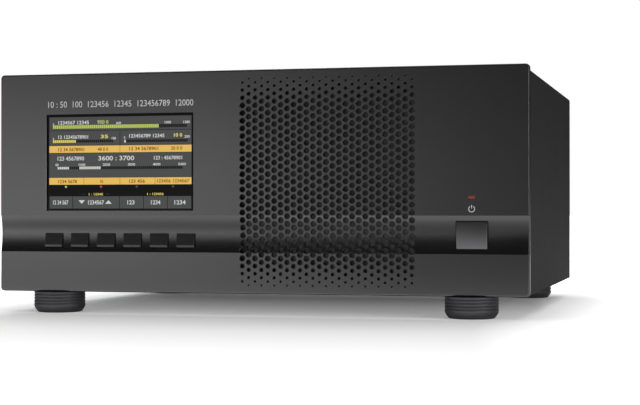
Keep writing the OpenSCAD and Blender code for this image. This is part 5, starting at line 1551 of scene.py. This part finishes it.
class AMPLIFIER_OT_fans(Operator):
    """Fan rotors with twisted, curved blades round a hub"""

    bl_idname = "amplifier.fans"
    bl_label = "Fan rotors"

    def execute(self, context):
        hub, shaft = 21, 1.5          # outer radii
        root, length = 20.3, 36.4     # where a blade starts, and how long it is
        deepest = 7.9                 # half the depth that a blade may take along the axis

        def blade(bm):
            loops = []
            for i in range(9):
                k = i / 8
                r = root + length * k
                chord, pitch = 18.5 + 8 * k, radians(50 - 19 * k)
                loop = []
                for a in angles(16):
                    c, thick = cos(a), 0.75 * sin(a) * (1 - 0.25 * k)
                    camber = 1.6 * (1 - c * c)
                    along, off = chord / 2 * c, thick + camber
                    s = along * cos(pitch) - off * sin(pitch)
                    z = along * sin(pitch) + off * cos(pitch)
                    z = max(-deepest, min(deepest, z))
                    loop.append(Vector((r * cos(s / r), r * sin(s / r), z)))
                loops.append(loop)
            loft(bm, loops, True, True)

        for name in ("front_fan", "rear_fan"):
            low, high, middle = node_place(f"{name}_rotor")
            bm = bmesh.new()
            lathe(bm, [(hub - 1.2, 0), (hub, 1), (hub, 18.8), (hub - 0.4, 19), (hub - 2, 19),
                       (hub - 2, 2.5), (shaft, 2.5), (shaft, high.y - low.y)],
                  (middle.x, low.y, middle.z), sides=64)
            blades = context.scene.amplifier_rear.blades
            copies(bm, blade, [(middle.x, low.y + 9, middle.z)] * blades, "black_plastic", OUT_OF_REAR,
                   step=2 * pi / blades)
            finish_piece(bm, f"{name}_blades", ["black_plastic"], [f"{name}_rotor"], name, angle=40)
        return {"FINISHED"}


class AMPLIFIER_OT_coax_sockets(Operator):
    """Two coaxial sockets: square flange, threaded barrel, insulator and contact"""

    bl_idname = "amplifier.coax_sockets"
    bl_label = "Coaxial sockets"

    def execute(self, context):
        rear = Millimetres(context.scene.amplifier_rear)
        outside = node_box("rear_panel")[1].y
        sides, flange, screw_reach = 48, 25.4, 9.05
        length = node_box("aerial_socket")[1].y - outside
        crest, depth = rear.coax_radius, rear.coax_depth
        root, bore = crest - depth, crest - 1.7
        tail, pin = 4.4, 2.0    # radius of the end inside the case, and of the contact's hole
        for name in ("aerial_socket", "drive_socket"):
            low, _, middle = node_place(name)
            x, z = middle.x, middle.z
            centre = Vector((x, outside, z))
            back = low.y - outside
            bm = bmesh.new()
            slab(bm, grown_rect(middle, flange, flange, 2, 4), outside, outside + 2, 0.25)
            lathe(bm, [(root - 0.2, 1.0), (root - 0.2, 2.9), (root, 3.0)], centre, sides=sides,
                  caps=(True, False))
            thread(bm, crest, depth, rear.coax_pitch, length - 3, sides, centre + Vector((0, 3, 0)),
                   "nickel")
            barrel = [(root, length), (bore + 0.3, length), (bore, length - 0.3), (bore, 4.2), (5.9, 4.0)]
            lathe(bm, barrel, centre, sides=sides, caps=(False, True))
            neck = [(5.95, 0.5), (5.95, back + 2), (tail, back + 1.6), (tail, back)]
            lathe(bm, neck, centre, sides=sides)
            insulator = [(6.15, 3.6), (6.15, 4.6), (5.9, 4.9), (3.3, 4.9), (3.1, 5.2), (2.9, 5.2),
                         (2.9, 3.6)]
            lathe(bm, insulator, centre, sides=sides, closed=True, index=1)
            contact = [(pin, 4.2), (pin + 0.7, 4.2), (pin + 0.7, length - 2.5), (pin + 0.4, length - 2),
                       (pin + 0.1, length - 2.1), (pin, length - 2.4)]
            lathe(bm, contact, centre, sides=32, closed=True, index=2)
            corners = [(x + sx * screw_reach, outside + 2, z + sz * screw_reach)
                       for sx in (-1, 1) for sz in (-1, 1)]
            copies(bm, cross_screw(2.4, 1.4, 1.4, 1.5), corners, "nickel", OUT_OF_REAR, chance=TURN,
                   index=3)
            finish_piece(bm, f"{name}_threaded",
                         ["nickel", "relay_white", "gold_ceramic", "zinc_steel"], [name], angle=38)
        return {"FINISHED"}


def fluted(r, depth, count, z, sides):
    """A round outline with shallow flutes."""
    points = []
    for a in angles(sides):
        cut = depth * max(0.0, cos(count * a)) ** 2
        points.append(Vector(((r - cut) * cos(a), (r - cut) * sin(a), z)))
    return points


def turned_loops(bm, loops, centre, start=True, end=True):
    """Loops drawn about Z, set on a centre so that they run along Y."""
    place = Matrix.Translation(centre) @ OUT_OF_REAR
    loft(bm, [[place @ p for p in loop] for loop in loops], start, end)


class AMPLIFIER_OT_earth_terminal(Operator):
    """Earth terminal: threaded stud, washer, inner nut and knurled thumb nut"""

    bl_idname = "amplifier.earth_terminal"
    bl_label = "Earth terminal"

    def execute(self, context):
        rear = Millimetres(context.scene.amplifier_rear)
        inside_face, outside = (corner.y for corner in node_box("rear_panel"))
        low, high, middle = node_place("earth_stud")
        centre = Vector((middle.x, outside, middle.z))
        length, depth = high.y - outside, 0.45
        root, washer = rear.stud_radius - depth, 1.6
        sides = 36
        bm = bmesh.new()
        lathe(bm, [(root, low.y - outside), (root, 1.2)], centre, sides=sides, caps=(True, False))
        thread(bm, rear.stud_radius, depth, rear.stud_pitch, length - 1.6, sides,
               centre + Vector((0, 1.2, 0)), "brass")
        lathe(bm, [(root, length - 0.4), (root - 0.35, length)], centre, sides=sides, caps=(False, True))
        lathe(bm, [(3.1, 0.2), (3.3, 0), (7.2, 0), (7.5, 0.3), (7.5, washer - 0.3), (7.2, washer),
                   (3.3, washer), (3.1, washer - 0.2)], centre, sides=48, closed=True)
        inner = inside_face - outside
        turned_loops(bm, [ring(5.2, h, sides, 6) for h in (inner - 4, inner)], centre)
        finish_piece(bm, "threaded_earth_stud", ["brass"], ["earth_stud"], angle=38)

        low, high = node_box("earth_nut")
        r, sides, collar = (high.x - low.x) / 2, 160, 5.3
        bore = rear.stud_radius + 0.12
        outline = [(bore, 0.3), (bore + 0.3, 0), (r - 0.7, 0), (r - 0.15, 0.5), (r, 1.0), (r, 4.2),
                   (r - 0.15, 4.6), (r - 0.8, 5), (collar + 0.2, 5), (collar, 5.3), (collar, 7.6),
                   (collar - 0.3, 8), (bore + 0.4, 8), (bore, 7.6), (bore, 0.3)]
        knurls = range(2, 8)    # the part of the outline that is knurled
        loops = [fluted(radius, 0.55, 20, h, sides) if k in knurls else ring(radius, h, sides)
                 for k, (radius, h) in enumerate(outline)]
        bm = bmesh.new()
        turned_loops(bm, loops, Vector((middle.x, low.y, middle.z)), False, False)
        finish_piece(bm, "knurled_earth_nut", ["brass"], ["earth_nut"], "earth_nut", angle=40)
        return {"FINISHED"}


def recessed_frame(bm, x, z, outer, outer_r, body, cavity, cavity_r, y, front, back, floor, edge):
    """A snap-in housing: a rim outside the panel, a body behind it and a recess with a floor."""
    def box(sides, r, inset=0.0):
        return round_rect(sides[0] - 2 * inset, sides[1] - 2 * inset, max(r - inset, 0.2), 5, x, z)

    loops = [at_depth(box(body, 0.6), back), at_depth(box(body, 0.6), y), at_depth(box(outer, outer_r), y),
             at_depth(box(outer, outer_r), y + front - edge)]
    for a in (30, 60, 90):
        s, c = sin(radians(a)), cos(radians(a))
        loops.append(at_depth(box(outer, outer_r, edge * (1 - c)), y + front - edge * (1 - s)))
    loops += [at_depth(box(cavity, cavity_r, -0.35), y + front),
              at_depth(box(cavity, cavity_r), y + front - 0.35), at_depth(box(cavity, cavity_r), floor)]
    loft(bm, loops, True, True)


class AMPLIFIER_OT_mains_fittings(Operator):
    """Mains inlet, rocker switch and the two fuse holders with their caps"""

    bl_idname = "amplifier.mains_fittings"
    bl_label = "Mains fittings"

    def execute(self, context):
        outside = node_box("rear_panel")[1].y
        low, high, middle = node_place("mains_inlet")
        x, z, tip = middle.x, middle.z, high.y - 3
        bm = bmesh.new()
        recessed_frame(bm, x, z, (high.x - low.x, high.z - low.z), 4, (33, 25), (27, 19), 3, outside,
                       high.y - outside, low.y, high.y - 17, 1.0)
        for dx, dz in ((-6.5, -2.5), (6.5, -2.5), (0, 2.5)):
            loft(bm, [at_depth(round_rect(8 - 2 * i, 2 - 2 * i, 0.3, 2, x + dx, z + dz), y)
                      for i, y in ((0, tip - 15), (0, tip - 0.8), (0.45, tip))], True, True, index=1)
        finish_piece(bm, "inlet_housing", ["black_plastic", "nickel"], ["mains_inlet"])

        low, high, middle = node_place("mains_switch")
        x, z = middle.x, middle.z
        bm = bmesh.new()
        recessed_frame(bm, x, z, (26, 33), 2, (22, 29), (18.6, 25.6), 0.8, outside, 2, low.y,
                       low.y + 3, 0.7)
        finish_piece(bm, "switch_housing", ["black_plastic"], ["mains_switch"])

        # The rocker is drawn round its pin, at the origin, and then set into the switch, tipped.
        arc_radius, half_width, pin_radius, pin_end = 11.8, 9, 1.2, 10.6
        arc = [Vector((arc_radius * cos(radians(a)), arc_radius * sin(radians(a))))
               for a in range(33, 69, 5)]
        half = arc + [Vector((-4.4, 10.9)), Vector((-6, 10.0))]
        outline = half + [Vector((p.x, -p.y)) for p in reversed(half)]
        bm = bmesh.new()
        loft(bm, [[Vector((s, p.x, p.y)) for p in outline] for s in (-half_width, half_width)], True, True)
        bmesh.ops.recalc_face_normals(bm, faces=bm.faces)
        soften(bm, lambda e: e.calc_face_angle(0) > 0.9 and any(v.co.y > 0 for v in e.verts), 0.5)
        lathe(bm, [(pin_radius, -pin_end), (pin_radius, pin_end)], (0, 0, 0), sides=24)
        pin = [v for v in bm.verts if v.co.x ** 2 + v.co.z ** 2 < 1.5 and abs(v.co.y) > pin_end - 0.1]
        bmesh.ops.rotate(bm, verts=pin, cent=(0, 0, 0), matrix=Matrix.Rotation(pi / 2, 3, "Z"))
        bmesh.ops.recalc_face_normals(bm, faces=bm.faces)
        face = arc[0].x + 0.03
        print_bar(bm, Vector((0, face, 0)), 0.35, 1.9, 5.2, -1, 1)
        print_ring(bm, Vector((0, face, -3.6)), 1.15, 1.75, 0, 360, 24, -1, 1)
        bm.transform(Matrix.Translation((x, outside - 6, z)) @ Matrix.Rotation(radians(-11), 4, "X"))
        finish_piece(bm, "tilting_rocker", ["black_plastic", "panel_print"], ["mains_rocker"],
                     "mains_rocker", tidy=False, flat=wide(40))

        low, high, middle = node_place("fuse_holders")
        bore, barrel, rim = 4.15, 5.6, 8.4
        span = (high.x - low.x) / 2 - rim
        bm = bmesh.new()
        for s in (-1, 1):
            lathe(bm, [(bore, 2.5), (bore, -24), (4.4, -31.4), (barrel, -31.4), (barrel, 0), (rim, 0),
                       (rim, 1.7), (rim - 0.2, 2.2), (rim - 0.7, 2.5)],
                  (middle.x + s * span, outside, middle.z), sides=48, closed=True)
        finish_piece(bm, "fuse_holder_rims", ["black_plastic"], ["fuse_holders"])
        sides, flutes, slot_width, slot_depth = 96, 12, 0.7, 1.4
        for n in (1, 2):
            low, high, middle = node_place(f"fuse_cap_{n}")
            face, r = high.y - low.y, (high.x - low.x) / 2
            slot = []
            for a in angles(sides):
                reach = min(slot_width / max(abs(cos(a)), 1e-6), (r - 1.5) / max(abs(sin(a)), 1e-6))
                slot.append(Vector((reach * cos(a), reach * sin(a), face)))
            loops = [ring(4, 0, sides), ring(4, face - 9, sides)]
            loops += [fluted(r - inset, depth, flutes, face - down, sides) for inset, depth, down in (
                (0.3, 0.5, 9), (0, 0.5, 8.7), (0, 0.5, 1.2), (0.25, 0.4, 0.5))]
            loops += [ring(r - 0.9, face, sides), slot, [p - Vector((0, 0, slot_depth)) for p in slot]]
            bm = bmesh.new()
            turned_loops(bm, loops, Vector((middle.x, low.y, middle.z)))
            finish_piece(bm, f"fluted_fuse_cap_{n}", ["black_plastic"], [f"fuse_cap_{n}"],
                         f"fuse_cap_{n}", angle=35)
        return {"FINISHED"}


def rounded(corners, r):
    """A polygon's outline with round corners."""
    points = []
    n, steps = len(corners), 4
    for i in range(n):
        here, before, after = corners[i], corners[i - 1], corners[(i + 1) % n]
        a, b = (before - here).normalized(), (after - here).normalized()
        half = a.angle(b) / 2
        middle = here + (a + b).normalized() * (r / sin(half))
        start, end = here + a * (r / tan(half)), here + b * (r / tan(half))
        for k in range(steps + 1):
            spoke = (start - middle).lerp(end - middle, k / steps)
            points.append(middle + spoke.normalized() * r)
    return points


def d_shape(w, h, inset, x, z):
    """The D-shaped outline of a data socket, wider above than below."""
    w, h = w - 2 * inset, h - 2 * inset
    lean = h * tan(radians(10))
    corners = [Vector((w / 2, h / 2)), Vector((-w / 2, h / 2)), Vector((-w / 2 + lean, -h / 2)),
               Vector((w / 2 - lean, -h / 2))]
    return [p + Vector((x, z)) for p in rounded(corners, max(2.4 - inset, 0.8))]


class AMPLIFIER_OT_signal_sockets(Operator):
    """Two D-shaped data sockets with their contacts, and two round key jacks"""

    bl_idname = "amplifier.signal_sockets"
    bl_label = "Signal sockets"

    def execute(self, context):
        outside = node_box("rear_panel")[1].y
        low, high = node_box("signal_sockets")
        plate_height, shell_height, pitch = 13.5, 10.5, 2.76

        def shell(w, z, profile, ends, index=0):
            loft(bm, [at_depth(d_shape(w, shell_height, i, x, z), outside + y) for i, y in profile],
                 ends, ends, index=index)

        def contact(part):
            loft(part, [ring(r, h, 10) for r, h in (
                (0.62, 0), (0.62, 0.12), (0.5, 0.2), (0.3, 0.2), (0.28, 0.02))], True, True)

        def post(part):
            loft(part, [ring(2.25, 0, 24, 6), ring(2.25, 4.6, 24, 6)] + [ring(r, h, 24) for r, h in (
                (2.1, 5.0), (1.3, 5.0), (1.2, 4.7), (1.2, 1.5))], True, True)

        bm = bmesh.new()
        x = low.x + 20
        middle = plate_height / 2
        for w, z, rows in ((19, high.z - middle, (5, 4)), (27, low.z + middle, (8, 7))):
            plate = grown_rect(Vector((x, 0, z)), w + 13, plate_height, 1.5, 4)
            loft(bm, [at_depth(plate(by), outside + y) for by, y in ((0, 0), (0, 0.75), (-0.25, 1))],
                 True, True)
            shell(w, z, ((0.0, 0.8), (0.0, 5.6), (0.25, 6.0), (0.55, 5.9), (0.6, 5.6), (0.6, 0.8),
                         (0.0, 0.8)), False)
            shell(w, z, ((1.3, 0.8), (1.3, 5.0), (1.5, 5.2)), True, 1)
            spots = [(x + (k - (number - 1) / 2) * pitch, outside + 5.2, z + 1.4 - 2.8 * row)
                     for row, number in enumerate(rows) for k in range(number)]
            copies(bm, contact, spots, "gold_ceramic", OUT_OF_REAR, index=2)
            copies(bm, post, [(x + s * (w / 2 + 3.6), outside + 0.9, z) for s in (-1, 1)], "nickel",
                   OUT_OF_REAR)

        # The jacks' bushes carry eight shallow thread ridges.
        bush, collar = 4.2, 6.2
        ridges = [(r, h + 0.8 * k) for k in range(8) for r, h in ((bush, 2.3), (bush, 2.5), (3.85, 2.8))]
        profile = [(1.6, 8.7), (1.6, 1.0), (2.2, -8), (bush, -8), (bush, 0), (collar, 0), (collar, 1.1),
                   (collar - 0.3, 1.5), (4.0, 1.5), (4.0, 2.0), *ridges, (4.0, 8.7), (3.8, 9), (1.9, 9)]
        for jack in (high.x - collar - 20, high.x - collar):
            lathe(bm, profile, (jack, outside, low.z + middle), sides=40, closed=True, index=3)
        finish_piece(bm, "data_sockets_and_jacks",
                     ["nickel", "black_plastic", "gold_ceramic", "brass"], ["signal_sockets"])
        return {"FINISHED"}


# ---- stage


def area_light(name, at, towards, width, height, power):
    """A soft rectangular light that looks at a point."""
    light = bpy.data.lights.new(name, "AREA")
    light.shape = "RECTANGLE"
    light.size, light.size_y = width, height
    light.energy = power
    lamp = bpy.data.objects.new(name, light)
    lamp.location = at
    lamp.rotation_euler = (Vector(towards) - Vector(at)).to_track_quat("-Z", "Y").to_euler()
    bpy.context.scene.collection.objects.link(lamp)


class AMPLIFIER_OT_stage(Operator):
    """Pale floor, soft studio light and the camera"""

    bl_idname = "amplifier.stage"
    bl_label = "Stage"

    def execute(self, context):
        look = context.scene.amplifier_stage
        context.scene.view_settings.view_transform = "Standard"
        eye = bpy.data.cameras.new("camera")
        eye.lens, eye.sensor_width = look.lens, 36
        eye.clip_start, eye.clip_end = 0.05, 50
        camera = bpy.data.objects.new("camera", eye)
        right, up, ahead = (Vector((0.96997, 0.24321, -0.00008)), Vector((0.00143, -0.00537, 0.99998)),
                            Vector((-0.24321, 0.96996, 0.00556)))
        turn = Matrix((right, up, -ahead)).transposed()
        camera.matrix_world = Matrix.Translation(look.camera) @ turn.to_4x4()
        context.scene.collection.objects.link(camera)
        context.scene.camera = camera

        reach, level = 30, CAD_BOX[0].z - 0.0002    # just under the feet, so that nothing flickers
        bm = bmesh.new()
        bm.faces.new([bm.verts.new((x * reach, y * reach, level))
                      for x, y in ((-1, -1), (1, -1), (1, 1), (-1, 1))])
        mesh = bpy.data.meshes.new("floor")
        bm.to_mesh(mesh)
        bm.free()
        mesh.materials.append(material("floor"))
        floor = bpy.data.objects.new("floor", mesh)
        context.scene.collection.objects.link(floor)

        world = bpy.data.worlds.new("studio")
        context.scene.world = world
        world.use_nodes = True
        t = Tree(world.node_tree)
        world.node_tree.nodes.clear()
        seen = t.add("LightPath", out="Is Camera Ray")
        spread = t.add("LightPath", out="Is Diffuse Ray")
        white, tent, dim = [t.add("Background", {"Color": (1, 1, 1, 1), "Strength": strength})
                            for strength in (1.0, look.tent, look.ambient)]
        soft = t.add("MixShader", {0: spread, 1: dim, 2: tent})
        both = t.add("MixShader", {0: seen, 1: soft, 2: white})
        t.add("OutputWorld", {"Surface": both})

        area_light("front_left", (-1.33, -2.37, 0.175), (-0.1, 0, 0.1), 1.6, 0.35, look.key_power)
        area_light("overhead", (-0.1, 0.15, 2.2), (-0.1, 0.15, 0), 3.2, 2.6, look.top_power)
        area_light("rear_left", (-1.4, 2.6, 1.1), (0, 0.2, 0.1), 1.6, 1.0, look.rear_power)
        area_light("right_front", (1.9, -1.3, 0.4), (0.2, -0.1, 0.1), 0.5, 0.8, look.side_power)
        return {"FINISHED"}


# ---- CAD finishes


class AMPLIFIER_OT_finishes(Operator):
    """Gives every carried-over CAD node the finish of its material slot"""

    bl_idname = "amplifier.finishes"
    bl_label = "Finishes"

    def execute(self, context):
        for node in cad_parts.values():
            for place in node.material_slots:
                place.material = material(place.material.name.removeprefix("plain_"))
        return {"FINISHED"}


class AMPLIFIER_PT_pieces(Panel):
    """Lists the pieces and their sizes"""

    bl_idname = "AMPLIFIER_PT_pieces"
    bl_label = "HF linear amplifier"
    bl_space_type = "VIEW_3D"
    bl_region_type = "UI"
    bl_category = "Amplifier"

    def draw(self, context):
        column = self.layout.column()
        for operator in OPERATORS:
            column.operator(operator.bl_idname)
        for name, kind in SETTINGS.items():
            box = self.layout.box()
            box.label(text=name.removeprefix("amplifier_").capitalize())
            for field in kind.__annotations__:
                box.prop(getattr(context.scene, name), field)


OPERATORS = (AMPLIFIER_OT_stage, AMPLIFIER_OT_front_panel, AMPLIFIER_OT_display, AMPLIFIER_OT_keys,
             AMPLIFIER_OT_power_button, AMPLIFIER_OT_print, AMPLIFIER_OT_feet, AMPLIFIER_OT_cover,
             AMPLIFIER_OT_screws, AMPLIFIER_OT_fan_guard, AMPLIFIER_OT_fans, AMPLIFIER_OT_coax_sockets,
             AMPLIFIER_OT_earth_terminal, AMPLIFIER_OT_mains_fittings, AMPLIFIER_OT_signal_sockets,
             AMPLIFIER_OT_finishes)
SETTINGS = {"amplifier_panel": PanelSizes, "amplifier_grille": GrilleSizes, "amplifier_keys": KeySizes,
            "amplifier_display": DisplayLook, "amplifier_feet": FootSizes, "amplifier_case": CaseSizes,
            "amplifier_rear": RearSizes, "amplifier_finish": FinishLook, "amplifier_stage": StageLook}


def register():
    for kind in (*SETTINGS.values(), *OPERATORS, AMPLIFIER_PT_pieces):
        bpy.utils.register_class(kind)
    for name, kind in SETTINGS.items():
        setattr(bpy.types.Scene, name, PointerProperty(type=kind))


def unregister():
    for name in SETTINGS:
        delattr(bpy.types.Scene, name)
    for kind in reversed((*SETTINGS.values(), *OPERATORS, AMPLIFIER_PT_pieces)):
        bpy.utils.unregister_class(kind)


def main():
    register()
    for plain in list(bpy.data.materials):
        plain.name = "plain_" + plain.name
    for operator in OPERATORS:
        family, name = operator.bl_idname.split(".")
        getattr(getattr(bpy.ops, family), name)()


if __name__ == "__main__":
    main()
